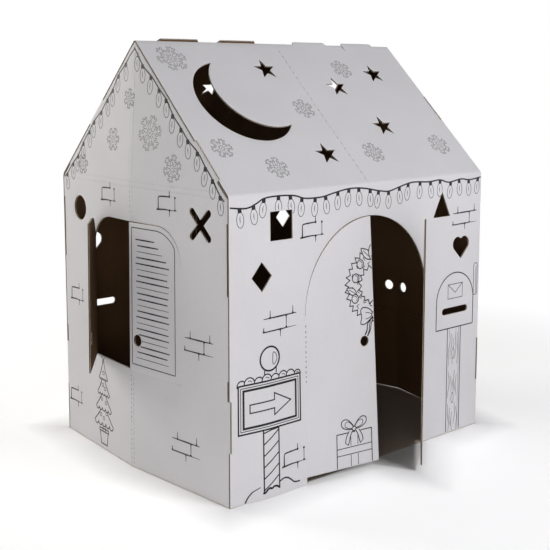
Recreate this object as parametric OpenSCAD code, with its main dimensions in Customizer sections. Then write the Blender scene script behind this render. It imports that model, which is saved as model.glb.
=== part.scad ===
// Playhouse of four die-cut corrugated sheets that slot together without glue.
// Each long sheet is one wall and one roof slope. Each gable sheet closes one end.
// The house stands on z = 0. Its door wall faces -Y and its ridge runs along X.

/* [House] */
// Length of the door wall, along X
house_w = 813; // [700:1:1000]
// Depth of the house between the outer faces of the long walls, along Y
house_d = 665; // [560:1:760]
// Height of the sharp corner where the outer faces of wall and roof would meet
wall_h = 655; // [640:1:760]
// Height of the line where the outer faces of the two roof slopes would meet
ridge_h = 978; // [900:1:1100]
// Outer radius of the soft fold at the eaves
eave_r = 12; // [8:0.5:20]
// Outward bow of the left gable along its upright crease
bow_left = 24; // [4:1:60]
// Outward bow of the right gable along its upright crease
bow_right = 72; // [4:1:80]

/* [Board] */
// Thickness of the corrugated board
board = 4.5; // [3:0.1:6]
// Depth of a pressed fold line under the outer face
crease = 0.3; // [0.1:0.05:0.5]
// Clearance where two boards meet
joint_gap = 0.3; // [0.1:0.05:0.6]
// Width of the knife cut round a door leaf or shutter
kerf = 1.5; // [0.8:0.1:3]

/* [Joints] */
// Height of the lower end of the corner tabs above the floor
corner_tab_z = 118; // [60:1:130]
// Length of each corner tab
corner_tab_len = 110; // [60:1:120]
// Length of the relief above each corner tab
low_relief_len = 43; // [20:1:60]
// Height of the lower end of the upper corner relief
high_relief_z = 449; // [400:1:460]
// Length of the upper corner relief
high_relief_len = 150; // [80:1:160]
// Depth of the reliefs in the gable edges
relief_depth = 3; // [1:0.5:5]
// Distance from the eave to the roof tab at the left end of a long sheet
left_tab_s = 46; // [30:1:80]
// Length of the roof tab at the left end of a long sheet
left_tab_len = 110; // [60:1:120]
// Distance from the eave to the roof tab at the right end of a long sheet
right_tab_s = 185; // [160:1:220]
// Length of the roof tab at the right end of a long sheet
right_tab_len = 83; // [50:1:110]
// Distance from the middle of the house to the inner ridge tab
ridge_tab_x = 60; // [30:1:80]
// Length of each ridge tab at its root
ridge_tab_len = 116; // [80:1:125]
// Distance between the starts of the two ridge tabs
ridge_tab_step = 171; // [150:1:180]
// How far a ridge tab reaches past the ridge line, along the slope
ridge_tab_rise = 4; // [2:0.5:14]
// Slant of the ends of a ridge tab
ridge_tab_slant = 6; // [0:0.5:12]

/* [Door] */
// Width of the doorway between its two fold lines
door_w = 400; // [340:1:420]
// Height at which the arch of the doorway starts
door_spring_z = 378; // [340:1:400]
// Gap between the floor and the foot of the door leaves
leaf_lift = 16; // [5:1:30]
// Diameter of the finger hole in each door leaf
door_hole_d = 24; // [18:1:32]
// Height of the finger holes in the door leaves
door_hole_z = 298; // [200:1:340]
// Distance from the finger hole to the free edge of the leaf
door_hole_in = 30; // [20:1:45]
// Swing of the left front leaf
left_leaf_swing = 6; // [0:1:60]
// Swing of the right front leaf
right_leaf_swing = 41; // [0:1:60]

/* [Window] */
// Width of the window between its two fold lines
window_w = 354; // [300:1:370]
// Height of the window's lower edge
sill_z = 230; // [200:1:260]
// Height of the window's upper edge
window_top_z = 571; // [520:1:580]
// Radius of the window's upper corners
window_r = 80; // [50:1:100]
// Diameter of the finger hole in each shutter
shutter_hole_d = 27; // [18:1:32]
// Height of the finger holes in the shutters
shutter_hole_z = 303; // [270:1:340]
// Distance from the finger hole to the free edge of the shutter
shutter_hole_in = 27; // [20:1:45]
// Swing of the shutter that stands open on the left gable
open_shutter_swing = 33; // [0:1:60]
// Swing of the shutter that is nearly shut on the left gable
ajar_shutter_swing = 2; // [0:1:20]

/* [Wall cut-outs] */
// Side of the square cut-out
square_side = 62; // [40:1:70]
// Place of the square cut-out's middle along the wall
square_x = -266; // [-280:1:-255]
// Height of the square cut-out's middle
square_z = 584; // [560:1:590]
// Width of the diamond cut-out
diamond_w = 54; // [30:1:70]
// Height of the diamond cut-out
diamond_h = 64; // [40:1:80]
// Place of the diamond's middle along the wall
diamond_x = -321.5; // [-340:0.5:-300]
// Height of the diamond's middle
diamond_z = 480.5; // [460:0.5:500]
// Side of the triangular cut-out
triangle_side = 63; // [40:1:76]
// Height of the triangular cut-out
triangle_h = 62.5; // [40:0.5:70]
// Place of the triangle's middle along the wall
triangle_x = 257; // [250:1:280]
// Height of the triangle's base
triangle_z = 554; // [540:1:560]
// Width of the heart cut-out
heart_w = 62; // [40:1:76]
// Place of the heart's middle along the wall
heart_x = 332.5; // [320:0.5:345]
// Height of the heart's lower point
heart_z = 442; // [420:1:460]
// Length of the letter slot
slot_len = 97; // [60:1:110]
// Height of the letter slot's opening
slot_h = 17; // [12:1:24]
// Place of the letter slot's middle along the wall
slot_x = 313.5; // [300:0.5:325]
// Height of the letter slot's middle
slot_z = 314; // [260:1:340]

/* [Roof cut-outs] */
// Outer radius of the crescent moon
moon_r = 124; // [100:1:130]
// Radius of the bite that shapes the moon
moon_bite_r = 120; // [100:1:125]
// Place of the moon's middle along the ridge
moon_x = -210; // [-240:1:-190]
// Distance of the moon's middle from the eave
moon_s = 269; // [240:1:280]
// Shift of the bite along the ridge
moon_bite_x = 59.5; // [40:0.5:80]
// Shift of the bite up the slope
moon_bite_s = 36; // [20:1:50]
// Radius of a star to its points
star_r = 33.5; // [20:0.5:38]
// Radius of a star to its inner corners
star_inner_r = 13; // [8:0.5:16]
// Distance between the small cuts along the fold of the roof
nick_step = 18; // [12:1:30]
// Length of each small cut along the fold of the roof
nick_len = 6; // [3:0.5:9]
// Width of each small cut along the fold of the roof
nick_w = 1.2; // [0.6:0.1:2]

/* [Gable cut-outs] */
// Diameter of the round cut-out
round_d = 60; // [40:1:70]
// Distance of the round cut-out from the middle of the gable
round_y = 245; // [235:1:260]
// Height of the round cut-out's middle
round_z = 578; // [560:1:590]
// Width of the two strokes of the cross cut-out
cross_w = 16; // [10:1:24]
// Distance of each stroke's end from the cross's middle, along Y and Z
cross_arm = 26.5; // [18:0.5:30]
// Distance of the cross from the middle of the gable
cross_y = 242; // [235:1:250]
// Height of the cross's middle
cross_z = 588; // [570:1:600]

/* [Hidden] */
$fn = 64;

half_w = house_w / 2;
half_d = house_d / 2;
rise = ridge_h - wall_h;
pitch = atan(rise / half_d);
slope_len = norm([half_d, rise]);
fold_turn = 90 - pitch;
fold_tangent = eave_r * tan(fold_turn / 2);
ridge_angle = 180 - 2 * pitch;
ridge_cut = (board + joint_gap + max(0, board * cos(ridge_angle))) / sin(ridge_angle);
joint_depth = board + joint_gap;
leaf_w = (door_w - kerf) / 2;
door_fold_top = door_spring_z - 2 * kerf;
shutter_fold_top = window_top_z - window_r - 2 * kerf;
through = 6 * board;
beyond = 1;
fold_steps = 12;

// Middles of the five stars on a roof slope: along the ridge, up from the eave
STARS = [[-83, 370], [113, 309], [-66, 97], [275, 354], [177, 173]];

// The house is set so that the middle of its whole outline is over the origin
shutter_turn = atan(bow_left / half_d) + open_shutter_swing;
shutter_tip = -half_w - hinge_bow(bow_left) + crease - shutter_len(bow_left) * sin(shutter_turn);
low_x = min(-half_w - bow_left, shutter_tip);
high_x = half_w + bow_right;
low_y = -half_d - max(0, leaf_w * sin(max(left_leaf_swing, right_leaf_swing)) - crease);
high_y = half_d;
stand = [-(low_x + high_x) / 2, -(low_y + high_y) / 2, 0];

// Outward bow of a gable at the fold line of its shutters
function hinge_bow(bow) = bow * (1 - window_w / 2 / half_d);
// Length of a shutter from its fold line to its free edge, along the board
function shutter_len(bow) = (window_w - kerf) / 2 / cos(atan(bow / half_d));

// Point i of an arc of radius r that turns from the wall to the roof slope
function fold_point(r, i) =
    let (a = fold_turn * i / fold_steps)
    [-half_d + eave_r, wall_h - fold_tangent] + r * [-cos(a), sin(a)];

// Turns a drawing of (y, z) upright and makes its thickness run along +X
module along_x() rotate([90, 0, 90]) children();

// Places a drawing of (x, z) on the door wall
module on_wall() translate([0, -half_d, 0]) rotate([90, 0, 0]) children();

// Places a drawing of (x, distance up from the eave) on the front roof slope
module on_roof() translate([0, -half_d, wall_h]) rotate([pitch, 0, 0]) children();

// Places a drawing of (distance up from the eave, height off the roof) in (y, z)
module on_slope() translate([-half_d, wall_h]) rotate(pitch) children();

module cut_through() linear_extrude(through, center = true) children();

// Section of a long sheet: upright wall, soft fold at the eave, roof slope
module sheet_section() {
    up = [cos(pitch), sin(pitch)];
    off = [-sin(pitch), cos(pitch)];
    top = [-half_d, wall_h] + (slope_len + ridge_tab_rise) * up;
    polygon(concat(
        [[-half_d, 0]],
        [for (i = [0 : fold_steps]) fold_point(eave_r, i)],
        [top, top - board * off],
        [for (i = [fold_steps : -1 : 0]) fold_point(eave_r - board, i)],
        [[-half_d + board, 0]]
    ));
}

// What is cut off a long sheet at its upper edge, leaving two ridge tabs
module ridge_cutaway() {
    top = slope_len + ridge_tab_rise;
    root = slope_len - ridge_cut;
    difference() {
        translate([-half_w - beyond, root])
            square([house_w + 2 * beyond, top - root + beyond]);
        for (i = [0, 1])
            translate([ridge_tab_x + i * ridge_tab_step, root - beyond])
                polygon([
                    [0, 0],
                    [0, beyond],
                    [ridge_tab_slant, top - root + 2 * beyond],
                    [ridge_tab_len - ridge_tab_slant, top - root + 2 * beyond],
                    [ridge_tab_len, beyond],
                    [ridge_tab_len, 0]
                ]);
    }
}

// Notch in the end of a long sheet, for a tab that starts at low
module end_notch(side, low, len) {
    near = side * (half_w - joint_depth);
    far = side * (half_w + beyond);
    translate([min(near, far), low - joint_gap])
        square([abs(far - near), len + 2 * joint_gap]);
}

// Doorway, from the floor to the crown of its arch
module doorway() {
    translate([-door_w / 2, -beyond])
        square([door_w, door_spring_z + beyond]);
    translate([0, door_spring_z])
        circle(d = door_w);
}

// Door leaf, drawn from its fold line at x = 0 towards its free edge
module door_leaf() {
    difference() {
        union() {
            translate([0, leaf_lift])
                square([leaf_w, door_fold_top - leaf_lift]);
            translate([kerf, leaf_lift])
                square([leaf_w - kerf, door_spring_z - leaf_lift]);
            intersection() {
                translate([door_w / 2, door_spring_z])
                    circle(r = door_w / 2 - kerf);
                translate([0, door_spring_z - beyond])
                    square([leaf_w, door_w]);
            }
        }
        translate([leaf_w - door_hole_in, door_hole_z])
            circle(d = door_hole_d);
    }
}

// Plan of a leaf that is swung out towards -Y. Its board is crushed at the fold,
// wraps round the fold line and ends inside the standing board.
module leaf_plan(swing, len) {
    fold_line = [-crease, crease];
    along = [cos(swing), -sin(swing)];
    back = [sin(swing), cos(swing)];
    crushed = board - 2 * crease;
    wrap = swing > 0 ? [for (i = [fold_steps : -1 : 0]) swing * i / fold_steps] : [0];
    polygon(concat(
        [fold_line, fold_line + len * along, fold_line + len * along + board * back],
        [fold_line + crushed * along + board * back],
        [for (a = wrap) fold_line + crushed * [sin(a), cos(a)]],
        [[-crease - beyond, board / 2]]
    ));
}

// Swung leaf whose outline is drawn from its fold line at x = 0. It is joined to
// the standing board from the height low to the height high.
module hinged_leaf(swing, len, low, high)
    intersection() {
        linear_extrude(wall_h)
            leaf_plan(swing, len + beyond);
        translate([-crease, crease, 0])
            rotate([90, 0, -swing])
                cut_through() {
                    children();
                    translate([-board - beyond, low])
                        square([board + 2 * beyond, high - low]);
                }
    }

module left_leaf(swing)
    translate([-door_w / 2, -half_d, 0])
        hinged_leaf(swing, leaf_w, leaf_lift, door_fold_top)
            door_leaf();

module right_leaf(swing) mirror([1, 0, 0]) left_leaf(swing);

// Heart: a square on its corner with a half round on each upper side
module heart(width) {
    side = width / (1 / sqrt(2) + 1);
    rotate(45)
        square(side);
    for (place = [[side / 2, side], [side, side / 2]])
        rotate(45)
            translate(place)
                circle(d = side);
}

// Slot with round ends, centred
module round_slot(len, high) {
    square([len - high, high], center = true);
    for (end = [-1, 1])
        translate([end * (len - high) / 2, 0])
            circle(d = high);
}

module star(outer, inner)
    polygon([for (i = [0:9])
        let (r = i % 2 == 0 ? outer : inner)
        r * [sin(36 * i), cos(36 * i)]]);

module moon()
    difference() {
        circle(r = moon_r);
        translate([moon_bite_x, moon_bite_s])
            circle(r = moon_bite_r);
    }

module wall_cutouts() {
    translate([square_x, square_z])
        square(square_side, center = true);
    translate([diamond_x, diamond_z])
        polygon([[diamond_w / 2, 0], [0, diamond_h / 2], [-diamond_w / 2, 0], [0, -diamond_h / 2]]);
    translate([triangle_x, triangle_z])
        polygon([[-triangle_side / 2, 0], [triangle_side / 2, 0], [0, triangle_h]]);
    translate([heart_x, heart_z])
        heart(heart_w);
    translate([slot_x, slot_z])
        round_slot(slot_len, slot_h);
}

module roof_cutouts() {
    translate([moon_x, moon_s])
        moon();
    for (place = STARS)
        translate(place)
            star(star_r, star_inner_r);
    for (s = [nick_step : nick_step : slope_len - nick_step])
        translate([0, s])
            square([nick_w, nick_len], center = true);
}

// Long sheet with its two door leaves
module long_sheet(left_swing, right_swing) {
    difference() {
        translate([-half_w, 0, 0])
            along_x()
                linear_extrude(house_w)
                    sheet_section();
        on_roof()
            cut_through() {
                ridge_cutaway();
                end_notch(-1, left_tab_s, left_tab_len);
                end_notch(1, right_tab_s, right_tab_len);
                roof_cutouts();
            }
        on_wall()
            cut_through() {
                doorway();
                end_notch(-1, corner_tab_z, corner_tab_len);
                end_notch(1, corner_tab_z, corner_tab_len);
                wall_cutouts();
            }
    }
    left_leaf(left_swing);
    right_leaf(right_swing);
}

// Window with round upper corners
module window(width) {
    flat = width - 2 * window_r;
    translate([-width / 2, sill_z])
        square([width, window_top_z - window_r - sill_z]);
    translate([-flat / 2, sill_z])
        square([flat, window_top_z - sill_z]);
    for (end = [-1, 1])
        translate([end * flat / 2, window_top_z - window_r])
            circle(r = window_r);
}

// Shutter, drawn from its fold line at x = 0 towards its free edge
module shutter(len) {
    corner_r = window_r - kerf;
    corner_z = window_top_z - window_r;
    low = sill_z + kerf;
    difference() {
        union() {
            translate([0, low])
                square([len, shutter_fold_top - low]);
            translate([kerf, low])
                square([len - kerf, corner_z - low]);
            translate([window_r, low])
                square([len - window_r, window_top_z - kerf - low]);
            translate([window_r, corner_z])
                circle(r = corner_r);
        }
        translate([len - shutter_hole_in, shutter_hole_z])
            circle(d = shutter_hole_d);
    }
}

// Half of a gable's outline: everything from the middle to the edge at -Y.
// The corner at the eave is cut straight, inside the soft fold of the long sheet.
module half_gable(roof_tab_s, roof_tab_len) {
    eave_point = [-half_d, wall_h];
    up = [cos(pitch), sin(pitch)];
    inward = [sin(pitch), -cos(pitch)];
    difference() {
        union() {
            polygon([
                [0, 0],
                [-half_d + joint_depth, 0],
                [-half_d + joint_depth, wall_h - fold_tangent],
                eave_point + fold_tangent * up + joint_depth * inward,
                [0, ridge_h - joint_depth / cos(pitch)]
            ]);
            translate([-half_d, corner_tab_z])
                square([joint_depth + beyond, corner_tab_len]);
            on_slope()
                translate([roof_tab_s, -joint_depth - beyond])
                    square([roof_tab_len, joint_depth + beyond]);
        }
        translate([-half_d - beyond, corner_tab_z + corner_tab_len])
            square([joint_depth + relief_depth + beyond, low_relief_len]);
        translate([-half_d - beyond, high_relief_z])
            square([joint_depth + relief_depth + beyond, high_relief_len]);
        on_slope()
            translate([-beyond, -joint_depth - relief_depth])
                square([left_tab_s + beyond, joint_depth + relief_depth + beyond]);
    }
}

module gable_outline() {
    half_gable(left_tab_s, left_tab_len);
    mirror([1, 0])
        half_gable(right_tab_s, right_tab_len);
}

// Board that is folded outwards along an upright crease, with a cross crease at
// the height of the eaves. It runs a little past the outline that is cut from it.
module folded_board(bow) {
    reach = 1.02;
    edge_x = -half_w + (reach - 1) * bow;
    crease_x = -half_w - bow;
    edge_y = reach * half_d;
    low = -beyond;
    outer = [
        [edge_x, -edge_y, low],
        [crease_x, 0, low],
        [edge_x, edge_y, low],
        [edge_x, edge_y, wall_h],
        [crease_x, 0, wall_h],
        [edge_x, -edge_y, wall_h],
        [edge_x, 0, wall_h + reach * rise]
    ];
    n = len(outer);
    inner = [for (p = outer) p + [board, 0, 0]];
    rim = [0, 1, 2, 3, 6, 5];
    outer_faces = [[0, 1, 4, 5], [1, 2, 3, 4], [5, 4, 6], [4, 3, 6]];
    inner_faces = [for (f = outer_faces) [for (i = [len(f) - 1 : -1 : 0]) f[i] + n]];
    rim_faces = [for (i = [0 : len(rim) - 1])
        let (a = rim[i], b = rim[(i + 1) % len(rim)])
        [b, a, a + n, b + n]];
    polyhedron(concat(outer, inner), concat(outer_faces, inner_faces, rim_faces));
}

module cross()
    for (turn = [-1, 1])
        rotate(45 * turn)
            round_slot(2 * sqrt(2) * cross_arm + cross_w, cross_w);

module gable_cutouts() {
    window(window_w);
    translate([round_y, round_z])
        circle(d = round_d);
    translate([-cross_y, cross_z])
        cross();
}

// Shutter on the +Y side of the left gable
module rear_shutter(bow, swing) {
    len = shutter_len(bow);
    translate([-half_w - hinge_bow(bow), window_w / 2, 0])
        rotate([0, 0, -90])
            hinged_leaf(atan(bow / half_d) + swing, len, sill_z + kerf, shutter_fold_top)
                shutter(len);
}

// Gable sheet in the place of the left one, with its two shutters
module gable(bow, front_swing, rear_swing) {
    intersection() {
        folded_board(bow);
        translate([-half_w - bow - beyond, 0, 0])
            along_x()
                linear_extrude(bow + board + 2 * beyond)
                    difference() {
                        gable_outline();
                        gable_cutouts();
                    }
    }
    rear_shutter(bow, rear_swing);
    mirror([0, 1, 0])
        rear_shutter(bow, front_swing);
}

module front_sheet()
    color("whitesmoke")
        translate(stand)
            long_sheet(left_leaf_swing, right_leaf_swing);

module rear_sheet()
    color("gainsboro")
        translate(stand)
            rotate([0, 0, 180])
                long_sheet(0, 0);

module left_gable()
    color("lightgray")
        translate(stand)
            gable(bow_left, ajar_shutter_swing, open_shutter_swing);

module right_gable()
    color("silver")
        translate(stand)
            rotate([0, 0, 180])
                gable(bow_right, 0, 0);

front_sheet();
rear_sheet();
left_gable();
right_gable();
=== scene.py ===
import math

import bpy
import numpy as np
from mathutils import Matrix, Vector
from mathutils.geometry import delaunay_2d_cdt


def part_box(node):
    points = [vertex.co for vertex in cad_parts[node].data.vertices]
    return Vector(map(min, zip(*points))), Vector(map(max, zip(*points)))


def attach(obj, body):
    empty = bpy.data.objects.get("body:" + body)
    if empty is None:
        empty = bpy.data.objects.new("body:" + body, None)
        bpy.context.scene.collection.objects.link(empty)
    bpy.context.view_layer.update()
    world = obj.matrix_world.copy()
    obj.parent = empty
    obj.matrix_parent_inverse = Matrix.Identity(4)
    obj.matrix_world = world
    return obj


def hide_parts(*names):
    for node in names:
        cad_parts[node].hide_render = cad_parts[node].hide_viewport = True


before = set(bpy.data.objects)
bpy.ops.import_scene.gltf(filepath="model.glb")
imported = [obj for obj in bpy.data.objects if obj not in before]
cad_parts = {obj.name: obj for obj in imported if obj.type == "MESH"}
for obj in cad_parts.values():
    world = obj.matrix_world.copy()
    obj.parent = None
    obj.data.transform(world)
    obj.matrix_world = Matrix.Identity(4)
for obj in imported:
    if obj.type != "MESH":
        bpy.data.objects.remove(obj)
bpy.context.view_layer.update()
FRONT_LOW, FRONT_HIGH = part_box("front_sheet")
REAR_LOW, REAR_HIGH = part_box("rear_sheet")

bl_info = {
    "name": "Cardboard Playhouse",
    "version": (1, 0, 0),
    "blender": (4, 5, 0),
    "location": "View3D > Sidebar > Playhouse",
    "description": "Folds, prints and stages a playhouse of four die-cut corrugated sheets",
    "category": "Object",
}

MM = 0.001
# The outer liner lies this many millimetres under the CAD's face, so that the print on
# it stays inside the CAD's box.
LINER_INSET = 0.15
WHITE_LINER, KRAFT_LINER, RAW_EDGE = 0, 1, 2
WHITE = (1.0, 1.0, 1.0, 1.0)
# Longest side of a cut edge and step of the grid inside a sheet, in millimetres.
EDGE_STEP, GRID_STEP = 8.0, 9.5
# Width of the strip along a cut that the die presses down, and the depth of it.
PRESSED, PRESS_DEPTH = 1.3, 0.45
# Two sides of the triangle of floor that the open leaf shades: a point on the side and
# its outward direction, in metres from the middle of the house. The wall is the third.
LEAF_SHADE = ((-0.010, -0.3325, -0.907, -0.420), (0.043, -0.447, 0.589, -0.808))
# Distances from a fold line at which the grid has lines of its own.
FOLD_STEPS = np.array([3, 1.2, 0, -1, -2, -3, -4, -6])


# sizes and colours

def length(name, description, default):
    return bpy.props.FloatProperty(name=name, description=description, default=default,
                                   min=0.0, subtype="DISTANCE", unit="LENGTH", precision=4)


def angle(name, description, degrees):
    return bpy.props.FloatProperty(name=name, description=description,
                                   default=math.radians(degrees), subtype="ANGLE", unit="ROTATION")


def share(name, description, default):
    return bpy.props.FloatProperty(name=name, description=description, default=default,
                                   min=0.0, max=1.0, subtype="FACTOR")


def colour(name, description, default):
    return bpy.props.FloatVectorProperty(name=name, description=description, size=3, min=0.0,
                                         max=1.0, default=default, subtype="COLOR")


class HouseSizes(bpy.types.PropertyGroup):
    """Sizes of the folded sheets."""
    width: length("Width", "Length of the door wall", FRONT_HIGH[0] - FRONT_LOW[0])
    depth: length("Depth", "Distance between the outer faces of the long walls", 0.665)
    wall: length("Wall height", "Height at which wall and roof would meet", 0.655)
    ridge: length("Ridge height", "Height at which the roof slopes would meet", 0.978)
    eave: length("Eave radius", "Outer radius of the fold at the eaves", 0.012)
    left_bow: length("Left bow", "Outward bow of the left gable", 0.024)
    right_bow: length("Right bow", "Outward bow of the right gable", 0.072)
    taper: share("Taper", "Part of the bow that a gable loses between foot and window top", 0.26)
    bulge: length("Foot bulge", "How far the front wall's foot swells left of the door", 0.013)
    board: length("Board", "Thickness of the corrugated board", 0.0045)
    flute: length("Flute pitch", "Distance between two flutes of the board", 0.0074)
    sag: length("Sag", "How far the flat panels dish inwards", 0.0016)
    tab: length("Ridge tab", "How far the ridge tabs rise over the ridge", 0.004)


class DoorSizes(bpy.types.PropertyGroup):
    """Sizes of the doorway and its two leaves."""
    width: length("Width", "Distance between the two fold lines", 0.400)
    spring: length("Arch start", "Height at which the arch starts", 0.381)
    lift: length("Foot gap", "Gap between the floor and the leaves", 0.016)
    kerf: length("Knife cut", "Width of the cut round a leaf", 0.0005)
    left_top: angle("Left leaf, top", "Swing of the left leaf at its top", 1.0)
    left_foot: angle("Left leaf, foot", "Swing of the left leaf at its foot", 8.6)
    right_leaf: angle("Right leaf", "Swing of the right leaf", 40.9)


class WindowSizes(bpy.types.PropertyGroup):
    """Sizes of the gable windows and their shutters."""
    width: length("Width", "Distance between the two fold lines", 0.354)
    sill: length("Sill", "Height of the lower edge", 0.230)
    top: length("Top", "Height of the upper edge", 0.571)
    corner: length("Corner radius", "Radius of the upper corners", 0.080)
    open_shutter: angle("Open shutter", "Swing of the shutter that stands open", 32.8)
    ajar_shutter: angle("Ajar shutter", "Swing of the shutter that is nearly shut", 2.0)


class PrintSizes(bpy.types.PropertyGroup):
    """Widths of the printed lines."""
    bold: length("Bold line", "Width of the bold outlines", 0.0041)
    plain: length("Plain line", "Width of the plain outlines", 0.0028)
    fine: length("Fine line", "Width of the fine outlines", 0.0017)
    ink: length("Ink", "Height of the ink over the liner", 0.00012)


class Finishes(bpy.types.PropertyGroup):
    """Colours of the board, its print and the floor."""
    liner: colour("White liner", "Bleached outer liner", (0.77, 0.757, 0.772))
    # Partly the liner's own brown, partly painted shade: darker than the board's brown so the
    # inside of the house stays dark.
    kraft: colour("Kraft liner", "Brown inner liner", (0.125, 0.066, 0.028))
    pulp: colour("Cut edge", "Raw cut edge of the board", (0.86, 0.78, 0.68))
    ink: colour("Ink", "Black line print", (0.012, 0.011, 0.012))
    floor: colour("Floor", "Pale studio floor", (0.90, 0.90, 0.90))


class Plan:
    """The panel's sizes in millimetres, with the sizes that follow from them."""

    def __init__(self, scene):
        h, d, w, p = (scene.house_sizes, scene.door_sizes, scene.window_sizes, scene.print_sizes)
        self.half_w = h.width / MM / 2
        self.half_d = h.depth / MM / 2
        self.wall = h.wall / MM
        self.ridge = h.ridge / MM
        self.eave = h.eave / MM
        self.bows = (h.left_bow / MM, h.right_bow / MM)
        self.taper = h.taper
        self.bulge = h.bulge / MM
        self.board = h.board / MM
        self.sag = h.sag / MM
        self.tab = h.tab / MM
        self.rise = self.ridge - self.wall
        self.pitch = math.atan2(self.rise, self.half_d)
        self.slope = math.hypot(self.rise, self.half_d)
        self.turn = math.pi / 2 - self.pitch
        tangent = self.eave * math.tan(self.turn / 2)
        self.fold_low = self.wall - tangent
        self.fold_high = self.fold_low + self.eave * self.turn
        self.roof_shift = self.fold_high - tangent
        self.joint = self.board + 0.3
        ridge_angle = math.pi - 2 * self.pitch
        overlap = self.joint + max(0.0, self.board * math.cos(ridge_angle))
        self.ridge_cut = overlap / math.sin(ridge_angle)
        self.door = d.width / MM / 2
        self.spring = d.spring / MM
        self.lift = d.lift / MM
        self.kerf = d.kerf / MM
        self.leaf_turns = (d.left_top, d.left_foot, d.right_leaf)
        self.window = w.width / MM / 2
        self.sill = w.sill / MM
        self.head = w.top / MM
        self.corner = w.corner / MM
        self.shutter_turns = (w.ajar_shutter, w.open_shutter)
        self.bold, self.plain, self.fine = p.bold / MM, p.plain / MM, p.fine / MM
        self.ink = p.ink / MM
        self.stand = np.array([
            (FRONT_LOW[0] + FRONT_HIGH[0]) / 2 / MM,
            REAR_HIGH[1] / MM - self.half_d,
            0.0,
        ])


# flat drawing

def arc(cx, cy, r, start, stop, steps=24):
    """Points of a circle's arc from one angle to another, in degrees."""
    a = np.radians(np.linspace(start, stop, steps + 1))
    return np.column_stack((cx + r * np.cos(a), cy + r * np.sin(a)))


def circle(cx, cy, r, steps=40):
    """Points once round a circle, the first not repeated."""
    return arc(cx, cy, r, 0, 360, steps)[:-1]


def rectangle(x0, y0, x1, y1):
    return np.array([[x0, y0], [x1, y0], [x1, y1], [x0, y1]], float)


def turned(points, degrees, cx=0.0, cy=0.0):
    """Points turned about the origin and then moved to (cx, cy)."""
    a = math.radians(degrees)
    c, s = math.cos(a), math.sin(a)
    return np.asarray(points, float) @ np.array([[c, s], [-s, c]]) + (cx, cy)


def divided(loop, step):
    """A closed loop whose long sides are cut into parts no longer than step."""
    ahead = np.roll(loop, -1, axis=0)
    span = np.hypot(*(ahead - loop).T)
    parts = np.maximum(1, np.ceil(span / step).astype(int))
    owner = np.repeat(np.arange(len(loop)), parts)
    first = np.repeat(np.cumsum(parts) - parts, parts)
    t = (np.arange(len(owner)) - first) / parts[owner]
    return loop[owner] + (ahead - loop)[owner] * t[:, None]


def star(cx, cy, outer=33.5, inner=13.0):
    """Five points: the radius changes between outer and inner every 36 degrees."""
    a = np.radians(36 * np.arange(10))
    r = np.where(np.arange(10) % 2 == 0, outer, inner)
    return np.column_stack((cx + r * np.sin(a), cy + r * np.cos(a)))


def moon(cx, cy, r=124.0, bite=120.0, dx=59.5, dy=36.0):
    """Outer arc of one circle and, back again, the arc of the circle that bites it."""
    d = math.hypot(dx, dy)
    way = math.degrees(math.atan2(dy, dx))
    near = (r * r - bite * bite + d * d) / (2 * d)
    half = math.degrees(math.acos(near / r))
    back = math.degrees(math.acos((near - d) / bite))
    outside = arc(cx, cy, r, way + half, way + 360 - half, 72)
    inside = arc(cx + dx, cy + dy, bite, way + 360 - back, way + back, 56)
    return np.vstack((outside, inside[1:-1]))


def heart(cx, low, width=62.0):
    """A square on its corner with a half circle on each upper side."""
    side = width / (1 / math.sqrt(2) + 1)
    right = arc(side, side / 2, side / 2, -90, 90, 18)
    left = arc(side / 2, side, side / 2, 0, 180, 18)
    shape = np.vstack(([[0, 0]], right, left[1:]))
    return turned(shape, 45, cx, low)


def capsule(cx, cy, long, high):
    """Slot with round ends."""
    r = high / 2
    x = long / 2 - r
    return np.vstack((arc(cx + x, cy, r, -90, 90, 14), arc(cx - x, cy, r, 90, 270, 14)))


def cross(cx, cy, stroke=16.0, reach=26.5):
    """Two round-ended strokes that cross at right angles, as one outline."""
    r = stroke / 2
    arm = math.sqrt(2) * reach
    limb = np.vstack((arc(arm, 0, r, -90, 90, 12), [[r, r]]))
    shape = np.vstack([turned(limb, 90 * i) for i in range(4)])
    return turned(shape, 45, cx, cy)


# outlines of the sheets

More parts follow.
